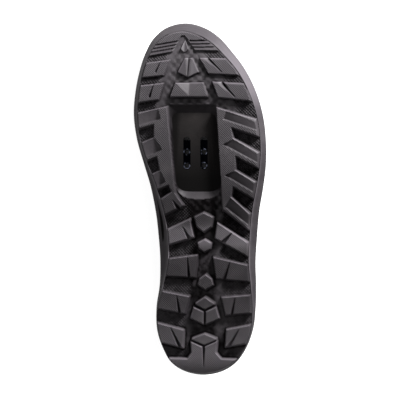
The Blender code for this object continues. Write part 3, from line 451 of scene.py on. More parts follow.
    add(toe_corners, louvres)
    deep = np.minimum(deep, floor_deep(y))
    mouth = polygon_distance(x, y, rounded(RECESS_MOUTH, (1.0, 1.0, 15.0, 15.0)))
    floor = polygon_distance(x, y, rounded(RECESS_FLOOR, (5.0, 6.0, 9.0, 9.0)))
    share = np.where(floor < 0, 1.0, np.clip(-mouth / (-mouth + np.maximum(floor, 0) + 1e-6), 0, 1))
    deep = np.where(mouth < 0, np.maximum(deep, LUG_H + (SHEET_T + RECESS_IN) * share), deep)
    return deep, np.where(mouth < 0, share, -1.0), apart


def surface(name, points, closed=False, uv=None, marks=None, drop=None):
    """A mesh from grids of points in the shoe's millimetres, rows by columns, closed across the columns if
    asked, many grids at once if there are more axes. Its faces look along rows crossed with columns. uv is
    a grid of pairs, one column wider if closed, marks are grids of values, and drop is a grid of the faces
    that are left out."""
    rows, cols = points.shape[-3:-1]
    many = points.size // (rows * cols * 3)
    last = cols if closed else cols - 1
    i, j = np.meshgrid(np.arange(rows - 1), np.arange(last), indexing="ij")
    corners = [(i, j), (i + 1, j), (i + 1, j + 1), (i, j + 1)]
    quads = np.stack([a * cols + b % cols for a, b in corners], -1).reshape(-1, 4)
    wide = last + 1
    lies = np.stack([a * wide + b for a, b in corners], -1).reshape(-1, 4)
    if drop is not None:
        quads, lies = quads[~drop.reshape(-1)], lies[~drop.reshape(-1)]
    quads = (quads[None] + np.arange(many)[:, None, None] * rows * cols).reshape(-1, 4)
    mesh = bpy.data.meshes.new(name)
    mesh.vertices.add(many * rows * cols)
    mesh.vertices.foreach_set("co", lay_down(points.reshape(-1, 3)).astype(np.float32).ravel())
    mesh.loops.add(len(quads) * 4)
    mesh.loops.foreach_set("vertex_index", quads.ravel().astype(np.int32))
    mesh.polygons.add(len(quads))
    mesh.polygons.foreach_set("loop_start", np.arange(0, len(quads) * 4, 4, dtype=np.int32))
    mesh.polygons.foreach_set("use_smooth", np.ones(len(quads), bool))
    mesh.update(calc_edges=True)
    if uv is not None:
        pairs = np.tile(uv.reshape(-1, 2)[lies.ravel()], (many, 1))
        mesh.uv_layers.new(name="lie").data.foreach_set("uv", pairs.astype(np.float32).ravel())
    for mark, values in (marks or {}).items():
        stored = mesh.attributes.new(mark, "FLOAT", "POINT")
        stored.data.foreach_set("value", values.ravel().astype(np.float32))
    mesh.validate()
    made = bpy.data.objects.new(name, mesh)
    bpy.context.scene.collection.objects.link(made)
    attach(made, "shoe")
    return made


ROWS, COLS = 560, 178  # of the tread's grid, heel to toe and side to side
BAND_FRONT, BAND_REAR, BAND_FADE = 17, 25, 4  # width of the knurled band, in front of BAND_TURN and behind it
BAND_TURN, KITE_X, KITE_WIDE = 207, 19, 13
CHECK, CHECK_HIGH = 3.6, 0.2  # side and height of one square of the woven relief
share = np.linspace(0, 1, ROWS)
edges = [outline(share, side) for side in (-1, 1)]
low_l, low_m = (e[:, :2] + e[:, 3:] * e[:, 2:3] for e in edges)
flat = low_l[:, None] + (low_m - low_l)[:, None] * np.linspace(0, 1, COLS)[None, :, None]
X, Y = flat[..., 0], flat[..., 1]
deep, recess, apart = tread(X, Y)
deep[:, [0, -1]] = floor_deep(Y[:, [0, -1]])
floor_here = ease(deep, floor_deep(Y) - 0.5, floor_deep(Y) - 0.1) * (recess < 0)
rim = np.minimum(np.abs(X - low_l[:, :1]), np.abs(low_m[:, :1] - X))
# Knurl in a band along the edge, weaker at the heel and none beside the kite at the toe. Woven relief in
# the middle of the forefoot.
band = np.where(Y > BAND_TURN, BAND_FRONT, BAND_REAR)
knurled = floor_here * ease(band - rim, 0, BAND_FADE) * (0.5 + 0.5 * ease(Y, 60, 90))
knurled = knurled * (1 - ease(Y, 254, 258) * (np.abs(X - KITE_X) < KITE_WIDE))
woven = floor_here * ease(rim, 19, 24) * ease(Y, 120, 135)
checks = np.clip(np.sin(np.pi * X / CHECK) * np.sin(np.pi * Y / CHECK) * 1.6, -1, 1)
deep = deep + CHECK_HIGH * woven * checks
# Painted shade, kept in the mark named black: by the table, for the floor and for the lugs' faces, most of
# all along the middle line, less in the windows of the front, then in the corners at the lugs' feet by a bell
# curve that is wider at the heel, in the hollows of the woven relief, and last down the recess's sides.
MIDDLE_X, MIDDLE_WIDE, BLACKEST = 2, 13, 0.97
middle = ease(MIDDLE_WIDE - np.abs(X - MIDDLE_X), 0, 5)
painted_shade_by_y = table(
    "y floor lugs",
    (0, 0.45, 0),
    (28, 0.6, 0.05),
    (50, 0.65, 0.35),
    (66, 0.8, 0.62),
    (96, 0.66, 0.62),
    (106, 0.6, 0.05),
    (116, 0.9, 0),
    (126, 0.98, 0.5),
    (145, 0.95, 0.55),
    (170, 0.8, 0.35),
    (200, 0.4, 0.15),
    (222, 0.22, 0.15),
    (245, 0.08, 0.08),
    (287, 0.05, 0),
)
black = np.interp(Y, painted_shade_by_y["y"], painted_shade_by_y["floor"]) * (0.45 + 0.55 * middle) * floor_here
black = black * (1 - 0.5 * ease(X, 26, 29) * ease(Y, 146, 152))
foot_wide = 1.2 + 1.0 * ease(45 - Y, 0, 15)
foot_dark = (0.95 - 0.75 * ease(Y, 235, 258)) * floor_here
at_foot = np.exp(-((np.clip(apart, 0, None) / foot_wide) ** 2))
black = black + foot_dark * at_foot + 0.2 * woven * (1 + checks)
black = np.maximum(black, np.interp(Y, painted_shade_by_y["y"], painted_shade_by_y["lugs"]) * (1 - floor_here))
down = np.where(recess < 0, 0, ease(recess, 0.0, 0.12)) * ease(Y, 147, 151)
black = np.clip(np.where(recess > 0, 0.42 + (0.55 - 0.17 * ease(Y, 195, 202)) * down, black), 0, BLACKEST)
# Painted light: a painted highlight on the front edges of lugs and bars, which face the lamp at the toe, by a
# bell curve just inside the edge, and a little painted light on the whole lugs at the waist and at the back
# of the heel.
EDGE_WIDE = 0.3
ahead = np.gradient(apart, axis=0) / np.gradient(Y, axis=0)
edge = np.exp(-(((apart + EDGE_WIDE) / EDGE_WIDE) ** 2)) * np.clip(ahead * 1.3, 0, 1)
whole = 0.22 * ease(Y, 100, 106) * ease(122 - Y, 0, 6) + 0.14 * ease(28 - Y, 0, 8)
worn = (0.6 * edge + whole) * (1 - floor_here)
(open_l, open_r), (open_rear, open_front) = SLOTS_OPEN
slots_hole = (X > open_l) & (X < open_r) & (Y > open_rear) & (Y < open_front)
sole_marks = {
    "face": 1 - ease(deep, 0.05, 0.5),
    "knurl": knurled,
    "black": black,
    "worn": worn,
    "floor": floor_here,
    "wall": 0.0 * deep,
}
tread_piece = surface(
    "outsole_tread",
    np.dstack([X, Y, ground(Y) + deep]),
    uv=np.dstack([X, Y]) * 0.01,
    marks=sole_marks,
    drop=slots_hole[:-1, :-1],
)
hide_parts("outsole")


def group(name, ins, outs):
    """An empty node group with named sockets, as (group, its input node, its output node)."""
    made = bpy.data.node_groups.new(name, "ShaderNodeTree")
    for label, kind in ins:
        made.interface.new_socket(name=label, in_out="INPUT", socket_type=f"NodeSocket{kind}")
    for label in outs:
        made.interface.new_socket(name=label, in_out="OUTPUT", socket_type="NodeSocketFloat")
    return made, made.nodes.new("NodeGroupInput"), made.nodes.new("NodeGroupOutput")


def node(tree, kind, values=None, **settings):
    """A node of this kind with its settings and input values; a value (node, output) is linked."""
    made = tree.nodes.new(f"ShaderNode{kind}")
    for key, value in settings.items():
        setattr(made, key, value)
    for key, value in (values or {}).items():
        if isinstance(value, tuple) and isinstance(value[0], bpy.types.Node):
            tree.links.new(value[0].outputs[value[1]], made.inputs[key])
        else:
            made.inputs[key].default_value = value
    return made


def sums(tree, operation, a, b=0.5, c=None):
    """A Math node as (node, output), its values numbers or (node, output)."""
    values = {0: a, 1: b} if c is None else {0: a, 1: b, 2: c}
    return node(tree, "Math", values, operation=operation), 0


def ranged(tree, value, start, end, top=1.0):
    """0 where the value is at start, top where it is at end, straight between, as (node, output)."""
    return node(tree, "MapRange", {"Value": value, "From Min": start, "From Max": end, "To Max": top}), 0


def blend(tree, share, under, over):
    """Two colours mixed by share, each three numbers or (node, output), as (node, output)."""
    under, over = ((*colour, 1) if len(colour) == 3 else colour for colour in (under, over))
    return node(tree, "MixRGB", {0: share, 1: under, 2: over}), 0


def embossed(tree, height, strength, lift):
    """A bump from a height, this strong and this many metres high, as (node, output)."""
    return node(tree, "Bump", {"Height": height, "Strength": strength, "Distance": lift}), 0


def marked(tree, *names):
    """Marks that a mesh carries at its points, each as (node, output)."""
    return [(node(tree, "Attribute", attribute_name=name), 2) for name in names]


def finish(name, rough, gloss=0.5, metal=0.0):
    """A new material as (material, its node tree, its shader), its even values set on the shader."""
    made = bpy.data.materials.new(name)
    made.use_nodes = True
    shader = made.node_tree.nodes["Principled BSDF"]
    shader.inputs["Roughness"].default_value = rough
    shader.inputs["Specular IOR Level"].default_value = gloss
    shader.inputs["Metallic"].default_value = metal
    return made, made.node_tree, shader


def wear(piece, made):
    """Puts a finish on a piece."""
    piece.data.materials.append(made)


def feed(tree, shader, **links):
    """Links (node, output) pairs to the shader's sockets, named by their words in small letters."""
    for key, value in links.items():
        tree.links.new(value[0].outputs[value[1]], shader.inputs[key.replace("_", " ").title()])


def placed(tree, effect, place, **values):
    """A shared effect put into a material, reading its pattern from place."""
    made = tree.nodes.new("ShaderNodeGroup")
    made.node_tree = effect
    tree.links.new(place[0].outputs[place[1]], made.inputs["Place"])
    for key, value in values.items():
        made.inputs[key.title()].default_value = value
    return made


# Moulded grain: a fine pitted skin, and patches of dust that come and go over a few centimetres.
mould, into, out = group("moulded grain", [("Place", "Vector"), ("Dust", "Float")], ("Height", "Dust"))
fine = node(mould, "TexNoise", {"Vector": (into, 0), "Scale": 900.0, "Detail": 3.0, "Roughness": 0.6})
broad = node(mould, "TexNoise", {"Vector": (into, 0), "Scale": 45.0, "Detail": 4.0, "Roughness": 0.65})
patch = ranged(mould, (broad, 0), 0.45, 0.72)
mould.links.new(fine.outputs[0], out.inputs["Height"])
dusty = sums(mould, "MULTIPLY", patch, (into, "Dust"))
mould.links.new(dusty[0].outputs[0], out.inputs["Dust"])

# Knurl: a diamond pattern of two saw waves crossed at right angles, turned by 45 degrees, 1 on each top.
knurl, into, out = group("diamond knurl", [("Place", "Vector"), ("Pitch", "Float")], ("Height",))
finer = sums(knurl, "DIVIDE", 1.0, (into, 1))
sized = node(knurl, "VectorMath", {0: (into, 0), "Scale": finer}, operation="SCALE")
turned = node(knurl, "Mapping", {"Vector": (sized, 0), "Rotation": (0, 0, np.pi / 4)})
split = node(knurl, "SeparateXYZ", {0: (turned, 0)})
waves = [sums(knurl, "PINGPONG", (split, k), 0.5) for k in (0, 1)]
high = sums(knurl, "MULTIPLY", sums(knurl, "MULTIPLY", *waves), 4.0)
knurl.links.new(high[0].outputs[0], out.inputs["Height"])

# The rubber: dark and a little purple, dusty in patches, with painted shade and painted light where the marks
# say so. The small knurl is on the faces, the coarse one between the lugs, and the side wall has fine level
# bands.
RUBBER_DARK, RUBBER_DUSTY = (0.0132, 0.0115, 0.0132), (0.0197, 0.0177, 0.0189)
RUBBER_SHADE, RUBBER_LIT = (0.0010, 0.0008, 0.0009), (0.055, 0.049, 0.055)
COARSE_PITCH, SMALL_PITCH = 0.0175, 0.0125  # in units of 100 mm
rubber, tree, shader = finish("black moulded rubber", 0.55, 0.01)
shader.inputs["Coat Roughness"].default_value = 0.58
lie, place = (node(tree, "UVMap", uv_map="lie"), 0), (node(tree, "TexCoord"), 3)
face, knurled_at, painted_shade_at, painted_light_at, floor_at, wall_at = marked(tree, *sole_marks)
grain = placed(tree, mould, place, dust=0.5)
coarse, small = (placed(tree, knurl, lie, pitch=p) for p in (COARSE_PITCH, SMALL_PITCH))
split = node(tree, "SeparateXYZ", {0: lie})
bands = sums(tree, "PINGPONG", sums(tree, "MULTIPLY", (split, 0), 11.0), 0.5)
bands = sums(tree, "MULTIPLY", sums(tree, "MULTIPLY", bands, wall_at), 0.8)
on_floor = sums(tree, "MULTIPLY", sums(tree, "MULTIPLY", (coarse, 0), knurled_at), 3.2)
on_face = sums(tree, "MULTIPLY", sums(tree, "MULTIPLY", (small, 0), face), 2.2)
height = sums(tree, "ADD", sums(tree, "ADD", on_floor, on_face), bands)
height = sums(tree, "MULTIPLY_ADD", (grain, 0), 0.4, height)
bump = embossed(tree, height, 1.0, 0.0003)
tint = blend(tree, (grain, 1), RUBBER_DARK, RUBBER_DUSTY)
# Painted shade in the grooves of the coarse knurl and from the marks, less where dusty, with darker random
# patches on the floor.
groove = sums(tree, "MULTIPLY", sums(tree, "SUBTRACT", 1.0, (coarse, 0)), knurled_at)
patches = node(tree, "TexNoise", {"Vector": place, "Scale": 210.0, "Detail": 3.0, "Roughness": 0.6})
patches = sums(tree, "MULTIPLY", ranged(tree, (patches, 0), 0.42, 0.62, 0.28), floor_at)
groove = sums(tree, "MULTIPLY_ADD", groove, 0.45, patches)
groove = sums(tree, "ADD", groove, sums(tree, "MULTIPLY_ADD", (grain, 1), -0.3, painted_shade_at))
tint = blend(tree, painted_light_at, blend(tree, groove, tint, RUBBER_SHADE), RUBBER_LIT)
rough = sums(tree, "MULTIPLY_ADD", (grain, 1), 0.3, 0.5)
gloss = sums(tree, "MAXIMUM", sums(tree, "MULTIPLY_ADD", groove, -0.22, 0.22), 0.0)
feed(tree, shader, base_color=tint, roughness=rough, normal=bump, coat_weight=gloss, coat_normal=bump)
wear(tread_piece, rubber)

# Outsole wall: the rest of the same rubber moulding. It leaves the tread on a thin rim, steps out to the
# widest line, climbs round the upper, and runs down inside to the plate.
RAND = table("y high", (-2, 18), (30, 17), (62, 14), (110, 12), (150, 11), (212, 12), (250, 14), (287, 16))
RAND_GAP, RAND_T, RAND_IN = 0.4, 2.4, 3.7
WALL_HIGH = 9.0  # from the lugs' faces up to the widest line
LIP_FROM, LIP_TO = 195.0, 215.0  # y between which the small lip under the wall's edge fades out
HEEL_LIFT, LIFT_FROM, LIFT_TO = 12.0, 150.0, 60.0
# The edge of collar and throat by the share of the way from heel to toe.
OPENING = table(
    "along y half centre z",
    (0.00, 12.0, 0.0, 3.0, 97.0),
    (0.05, 14.5, 12.5, 2.6, 96.5),
    (0.10, 21.5, 21.0, 2.0, 94.0),
    (0.20, 45.0, 28.0, 1.0, 86.0),
    (0.30, 73.0, 27.5, 1.0, 86.0),
    (0.40, 100.0, 20.0, 3.0, 99.0),
    (0.45, 110.0, 15.0, 4.0, 104.0),
    (0.50, 124.0, 13.0, 5.0, 99.0),
    (0.60, 148.0, 12.5, 7.0, 88.0),
    (0.70, 168.0, 12.0, 9.0, 77.0),
    (0.80, 184.0, 10.5, 11.0, 70.0),
    (0.90, 194.0, 7.0, 12.5, 66.0),
    (1.00, 199.0, 0.0, 13.5, 64.0),
)
CLIMB_AT = (0.0, 0.25, 0.45, 0.70, 1.0)
CLIMB = table(
    "step heel_in heel_up side_in side_up waist_in waist_up ball_in ball_up toe_in toe_up",
    (0.00, 0.00, 0.00, 0.00, 0.00, 0.00, 0.00, 0.00, 0.00, 0.00, 0.00),
    (0.14, 0.00, 0.17, 0.16, 0.18, 0.02, 0.18, 0.02, 0.20, 0.00, 0.34),
    (0.28, 0.02, 0.34, 0.44, 0.36, 0.10, 0.37, 0.07, 0.38, 0.02, 0.55),
    (0.42, 0.12, 0.51, 0.64, 0.53, 0.22, 0.55, 0.17, 0.56, 0.07, 0.71),
    (0.56, 0.34, 0.66, 0.78, 0.68, 0.40, 0.71, 0.33, 0.73, 0.20, 0.82),
    (0.70, 0.62, 0.80, 0.88, 0.82, 0.61, 0.84, 0.54, 0.87, 0.44, 0.91),
    (0.85, 0.86, 0.91, 0.95, 0.92, 0.82, 0.94, 0.79, 0.95, 0.73, 0.97),
    (1.00, 1.00, 1.00, 1.00, 1.00, 1.00, 1.00, 1.00, 1.00, 1.00, 1.00),
)


def bed(y):
    """Top of the stiff plate: level under the ball, an S-curve up to the heel, and the toe spring."""
    way = np.clip((LIFT_FROM - y) / (LIFT_FROM - LIFT_TO), 0, 1)
    past = np.clip(y - BALL_FLAT[1], 0, None) / (TOE_TIP[1] - BALL_FLAT[1])
    return LUG_H + SHEET_T + PLATE_T + HEEL_LIFT * way**2 * (3 - 2 * way) + TOE_SPRING * past**TOE_POWER


def column(data, name, along):
    """One column of a table of places along the shoe, read at a share of the way from heel to toe."""
    return smooth(along, data["along"], data[name])


def upper_at(along, side, step):
    """A point of the upper's outside, from the feather line towards the edge of collar and throat: its run
    inwards and its rise are two curves of step, mixed from five places along the shoe."""
    along, step = np.broadcast_arrays(np.asarray(along, float), np.asarray(step, float))
    foot = outline(along, side)
    base = foot[..., :2] + foot[..., 3:] * RAND_IN
    low = bed(base[..., 1]) + GAP + 0.15
    half, centre, top_y, top_z = (column(OPENING, k, along) for k in ("half", "centre", "y", "z"))
    run, rise = 0.0, 0.0
    for k, name in enumerate(("heel", "side", "waist", "ball", "toe")):
        weight = np.interp(along, CLIMB_AT, np.eye(len(CLIMB_AT))[k])
        run = run + weight * smooth(step, CLIMB["step"], CLIMB[f"{name}_in"])
        rise = rise + weight * smooth(step, CLIMB["step"], CLIMB[f"{name}_up"])
    x = base[..., 0] + (centre + side * half - base[..., 0]) * run
    y = base[..., 1] + (top_y - base[..., 1]) * run
    return np.stack([x, y, low + (top_z - low) * rise], -1)


def outward(along, side, step):
    """The unit normal of the upper's outside, from its slopes both ways."""
    along, step = np.broadcast_arrays(np.asarray(along, float), np.asarray(step, float))
    d = 0.004
    u = upper_at(np.clip(along + d, 0, 1), side, step) - upper_at(np.clip(along - d, 0, 1), side, step)
    v = upper_at(along, side, np.clip(step + d, 0, 1)) - upper_at(along, side, np.clip(step - d, 0, 1))
    return unit(np.cross(v, u) * -side)


def step_at(along, side, high):
    """The step at which each column is this high above the plate, read off its own curve."""
    steps = np.linspace(0, 1, 60)
    z = upper_at(along[:, None], side, steps[None, :])[..., 2]
    return np.array([np.interp(h, row - row[0], steps) for h, row in zip(high, z)])


def around(function, half_count):
    """A ring round the shoe, lateral side first, from a function of (along, side) for either side."""
    share = np.linspace(0, 1, half_count + 1)
    return np.concatenate([function(share, -1), function(share[-2:0:-1], 1)], axis=-2)


def run_of(points):
    """How far along their line these points lie, in millimetres."""
    return np.concatenate([[0], np.cumsum(np.linalg.norm(np.diff(points, axis=0), axis=1))])


def wall_ring(set_in, up):
    """Ring of the side wall: its share of the bottom edge's set-in, and its height over that edge."""

    def half(along, side):
        foot = outline(along, side)
        xy = foot[:, :2] + foot[:, 3:] * (foot[:, 2] * set_in)[:, None]
        start = floor_deep(foot[:, 1])
        lip = up * (1 - ease(foot[:, 1], LIP_FROM, LIP_TO))
        rise = up * (LUG_H + WALL_HIGH - start) / WALL_HIGH if up > 0 else lip
        return np.column_stack([xy, ground(xy[:, 1]) + start + rise])

    return around(half, ROWS - 1)


def rand_ring(share_up, out, less=0.0):
    """Ring of the wall round the upper, at a share of its height and this far outside the upper."""

    def half(along, side):
        foot = outline(along, side)
        h = smooth(foot[:, 1], RAND["y"], RAND["high"]) * share_up - less
        point = upper_at(along, side, step_at(along, side, h))
        point[:, :2] -= foot[:, 3:] * out
        point[:, 2] = bed(point[:, 1]) + h
        return point

    return around(half, ROWS - 1)


WALL_PROFILE = (
    (1.0, 0.0),
    (0.985, -0.35),
    (0.95, -0.4),
    (0.91, 0.2),
    (0.62, 2.5),
    (0.56, 2.9),
    (0.55, 3.2),
    (0.50, 3.5),
    (0.34, 4.4),
    (0.17, 5.6),
    (0.06, 7.2),
    (0.0, WALL_HIGH),
)
RAND_PROFILE = ((1.0, 3.2), (1.0, 1.2), (0.85, 0.4), (0.55, 0.0))
rings = [wall_ring(*row) for row in WALL_PROFILE]
rings += [rand_ring(1, RAND_GAP + RAND_T * out, less) for out, less in RAND_PROFILE]
rings = np.array(rings + [rand_ring(k, RAND_GAP) for k in (1.0, 0.8, 0.5, 0.2)])
looped = np.concatenate([rings, rings[:, :1]], axis=1)
run = run_of(looped[0])
high = np.concatenate([[0], np.cumsum(np.linalg.norm(np.diff(rings, axis=0), axis=2).mean(1))])
wall_uv = np.dstack(np.meshgrid(run, high)) * 0.01
none = np.zeros(rings.shape[:2])
row = np.arange(len(rings))[:, None]
banded = none + (row < len(WALL_PROFILE))
half_y = outline(share, -1)[:, 1]
ring_y = np.concatenate([half_y, half_y[-2:0:-1]])[None, :]
medial = (np.arange(rings.shape[1]) >= ROWS)[None, :]
# Painted shade on the wall above its rim at the waist and the heel, and painted light on its rim at the waist
# and on the outer wall by the ball.
waist = ease(ring_y, 55, 70) * ease(205 - ring_y, 0, 50)
wall_painted_shade = np.where(medial, 0.4, 0.35) * waist * (row > 3) + 0.25 * (row > 3) * ease(70 - ring_y, 0, 30)
ball = ~medial * ease(ring_y, 205, 235) * ease(285 - ring_y, 0, 35)
wall_painted_light = 0.9 * waist * (row > 0) * (row < 3) + 0.35 * ball * (row > 2) * (row < len(WALL_PROFILE))
wall_marks = dict.fromkeys(sole_marks, none)
wall_marks.update(black=wall_painted_shade, worn=wall_painted_light, wall=banded)
wall_piece = surface("outsole_wall", rings, closed=True, uv=wall_uv, marks=wall_marks)
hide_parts("outsole")
wear(wall_piece, rubber)

# Sole plate: the stiff plate of glass-filled nylon under the foot, moulded in one piece, which shows at the
# recess's floor. It is brownish with dust in front, with painted shade towards the rear and to either side of
# its slots, where the recess's walls shade it.
nylon, tree, shader = finish("black nylon plate", 0.7, 0.03)
object_at = (node(tree, "TexCoord"), 3)
TO_SHOE = {
    "Rotation": Matrix(TURN.T).to_euler(),
    "Scale": (1000.0,) * 3,
    "Location": tuple(-TURN.T @ SHIFT * 1000),
}
upright = node(tree, "Mapping", {"Vector": object_at, **TO_SHOE})
split = node(tree, "SeparateXYZ", {0: (upright, 0)})
# Painted shade: darker towards the rear, and past 11 mm to either side of the slots' line.
rear = ranged(tree, (split, 1), 207.0, 158.0)
beside_slots = sums(tree, "ABSOLUTE", sums(tree, "SUBTRACT", (split, 0), SEAT_AT[0]))
shade = ranged(tree, beside_slots, 11.0, 15.5, 0.85)
grain = placed(tree, mould, object_at, dust=0.6)
tint = blend(tree, (grain, 1), (0.0042, 0.0037, 0.0037), (0.0073, 0.0063, 0.0062))
tint = blend(tree, sums(tree, "MAXIMUM", rear, shade), tint, (0.0004, 0.0003, 0.0003))
feed(tree, shader, base_color=tint, normal=embossed(tree, (grain, 0), 0.3, 0.0003))
frame["nodes"]["sole_plate"].material_slots[0].material = nylon

# Cleat nut: a steel plate stamped with four threaded bosses that stand in the plate's slots. It is
# blackened all over and darkened further as painted shade for the inside of the slots, and the rims of its
# bolt holes carry a painted glint.
NUT_AT, BOLTS_X, BOLTS_Y, HOLE_R = (8.6, 174.4), 14.0, 11.0, 2.1
BRIGHT_AT = 0.3  # how far outside a hole's edge its painted glint is brightest
steel, tree, shader = finish("blackened steel", 0.3, 0.5, 1.0)
object_at = (node(tree, "TexCoord"), 3)
upright = node(tree, "Mapping", {"Vector": object_at, **TO_SHOE})
split = node(tree, "SeparateXYZ", {0: (upright, 0)})
off = []
for axis, middle, apart in ((0, NUT_AT[0], BOLTS_X), (1, NUT_AT[1], BOLTS_Y)):
    away = sums(tree, "ABSOLUTE", sums(tree, "SUBTRACT", (split, axis), middle))
    off.append(sums(tree, "POWER", sums(tree, "ABSOLUTE", sums(tree, "SUBTRACT", away, apart / 2)), 2.0))
radius = sums(tree, "SQRT", sums(tree, "ADD", *off))
# A painted glint on a thin ring just outside each hole, broken up by noise.
from_rim = sums(tree, "ABSOLUTE", sums(tree, "SUBTRACT", radius, HOLE_R + BRIGHT_AT))
glint = node(tree, "TexNoise", {"Vector": (upright, 0), "Scale": 0.55, "Detail": 1.0})
glint = ranged(tree, (glint, 0), 0.48, 0.62)
shine = sums(tree, "MULTIPLY", ranged(tree, from_rim, 0.35, 0.1), glint)
grain = placed(tree, mould, object_at, dust=0.8)
# Near black: blackened steel, darkened further as painted shade inside the slots.
tint = blend(tree, (grain, 1), (0.0003, 0.0003, 0.0007), (0.001, 0.001, 0.0016))
feed(tree, shader, base_color=blend(tree, shine, tint, (0.13, 0.14, 0.19)))
frame["nodes"]["cleat_nut"].material_slots[0].material = steel

# Insole: a loose sheet of foam with a brushed cloth face, pressed into a shallow cup that turns up a little
# along its edge.
INSOLE_T, WALL, INSOLE_COLS = 4.0, 2.0, 160
INSOLE_PROFILE = ((0.0, 0.0), (0.0, 0.5), (0.0, 1.1), (0.008, 1.35), (0.03, 1.3), (0.08, 1.1), (0.16, 1.0))


def insole_ring(inwards, up):
    """Ring of the insole: this share of the way from its edge to its middle line, up by a share of its
    thickness from the plate."""
    edge = around(insole_edge, INSOLE_COLS)
    other = np.roll(edge[::-1], 1, axis=0)
    point = edge + ((edge + other) / 2 - edge) * inwards
    point[:, 2] = bed(point[:, 1]) + GAP + INSOLE_T * up
    return point


def insole_edge(along, side):
    """Edge of the insole, just inside the upper's wall."""
    foot = outline(along, side)
    point = upper_at(along, side, step_at(along, side, GAP + 2 + 0 * along))
    point[:, :2] += foot[:, 3:] * (WALL + GAP + 0.4)
    return point


insole_rows = [(1.0, 0.0), (0.5, 0.0), *INSOLE_PROFILE, *((k, 1.0) for k in (0.3, 0.5, 0.7, 0.85, 1.0))]
points = np.array([insole_ring(*row) for row in insole_rows])
insole_uv = points[:, list(range(points.shape[1])) + [0], :2] * 0.01
insole_piece = surface("insole_sheet", points, closed=True, uv=insole_uv)
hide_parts("insole")

# Woven cloth: threads that pass over and under each other, each a rounded bump, with uneven threads.
cloth, into, out = group("woven cloth", [("Place", "Vector"), ("Threads", "Float")], ("Height", "Shade"))
sized = node(cloth, "VectorMath", {0: (into, 0), "Scale": (into, 1)}, operation="SCALE")
split = node(cloth, "SeparateXYZ", {0: (sized, 0)})
waves = [sums(cloth, "SINE", sums(cloth, "MULTIPLY", (split, k), np.pi)) for k in (0, 1)]
high = sums(cloth, "MULTIPLY_ADD", sums(cloth, "MULTIPLY", *waves), 0.5, 0.5)
noise = node(cloth, "TexNoise", {"Vector": (sized, 0), "Scale": 0.35, "Detail": 3.0})
cloth.links.new(high[0].outputs[0], out.inputs["Height"])
uneven = sums(cloth, "MULTIPLY", sums(cloth, "ADD", high, (noise, 0)), 0.6)
cloth.links.new(uneven[0].outputs[0], out.inputs["Shade"])


def cloth_finish(name, threads, dark, light, lift, rough=0.85, gloss=0.3):
    """A cloth of this many threads to 100 mm, its colour between dark and light, with a bump in metres."""
    made, tree, shader = finish(name, rough, gloss)
    lie = (node(tree, "UVMap", uv_map="lie"), 0)
    weave = placed(tree, cloth, lie, threads=threads)
    tint = blend(tree, (weave, 1), dark, light)
    feed(tree, shader, base_color=tint, normal=embossed(tree, (weave, 0), 0.8, lift))
    return made


brushed = cloth_finish("brushed insole cloth", 130.0, (0.014, 0.014, 0.015), (0.035, 0.035, 0.037), 0.00025)
wear(insole_piece, brushed)

# Upper: black synthetic leather, cut in panels, sewn and pulled over a last. Overlays stand proud round the
# toe, heel, foot of the upper and throat; small holes air the sides, and it creases where the toes bend.
UP_ROWS, SIDE_COLS = 96, 300
MUDGUARD = table(
    "along step",
    (0, 0.60),
    (0.10, 0.56),
    (0.2, 0.40),
    (0.33, 0.30),
    (0.5, 0.27),
    (0.68, 0.30),
    (0.80, 0.42),
    (0.90, 0.62),
    (1, 0.74),
)
STAY = table(
    "along step",
    (0.40, 1.02),
    (0.43, 0.90),
    (0.5, 0.83),
    (0.7, 0.80),
    (0.86, 0.78),
    (0.94, 0.84),
    (1.0, 0.88),
)
CREASES = table(
    "along lean bend deep wide",
    (0.725, 0.020, 0.03, 0.9, 0.0065),
    (0.755, 0.030, 0.02, 1.3, 0.0080),
    (0.79, 0.045, -0.02, 1.0, 0.0070),
    (0.825, 0.050, -0.03, 0.6, 0.0060),
)
PANEL_T, COLLAR_PAD = 0.7, 1.6
PRESSED = 0.1  # what is left of the collar's outside foam on the side that rests on the floor
HIGH, LONG = 105, 290  # rough size of the upper, to turn shares into millimetres
RIM_WIDE, THROAT_FROM, NEAR_TOP = 1.2, 0.405, 0.975
BRACE_AT, BRACE_LEAN, BRACE_HALF = 0.345, 0.10, 7.0


def upper_relief(along, side, step):
    """How far the upper's outside stands proud, in millimetres, and its masks: overlay, rim, fold and pad.
    Overlays are flat steps, creases are bell curves across a leaning line, and the pad is half a sine."""
    throat = along > THROAT_FROM
    low, high = (column(MUDGUARD, "step", along) - step) * HIGH, (step - column(STAY, "step", along)) * HIGH
    panel = np.maximum(ease(low, -0.5, 0.5), ease(high, -0.5, 0.5) * throat)
    rim = np.maximum(np.exp(-((low / RIM_WIDE) ** 2)), np.exp(-((high / RIM_WIDE) ** 2)) * throat)
    brace = np.abs(along - (BRACE_AT + BRACE_LEAN * step)) * LONG
    brace = ease(BRACE_HALF - brace, -0.5, 0.5) * (1 - panel)
    out = PANEL_T * panel + PANEL_T * brace
    fold = 0.0 * out
    for r in rows_of(CREASES):
        middle = r["along"] + r["lean"] * (step - 0.5) + side * r["bend"] * 0.4 * (step - 0.4) ** 2
        line = np.exp(-(((along - middle) / r["wide"]) ** 2))
        line = line * ease(step, 0.30, 0.52) * ease(1.02 - step, 0.0, 0.15)
        ridge = np.exp(-(((along - middle - 0.016) / 0.010) ** 2)) * ease(step, 0.32, 0.6)
        out = out - r["deep"] * line + 0.45 * r["deep"] * ridge
        fold = np.maximum(fold, line)
    pad = ease(0.43 - along, 0, 0.03) * ease(step, 0.74, 0.83) * ease(along, 0.012, 0.045)
    swell = np.sin(np.pi * np.clip((step - 0.76) / 0.26, 0, 1)) ** 0.6
    out = out + COLLAR_PAD * (PRESSED if side > 0 else 1.0) * pad * swell
    return out, {"panel": np.maximum(panel, brace), "rim": rim, "fold": fold, "pad": pad}


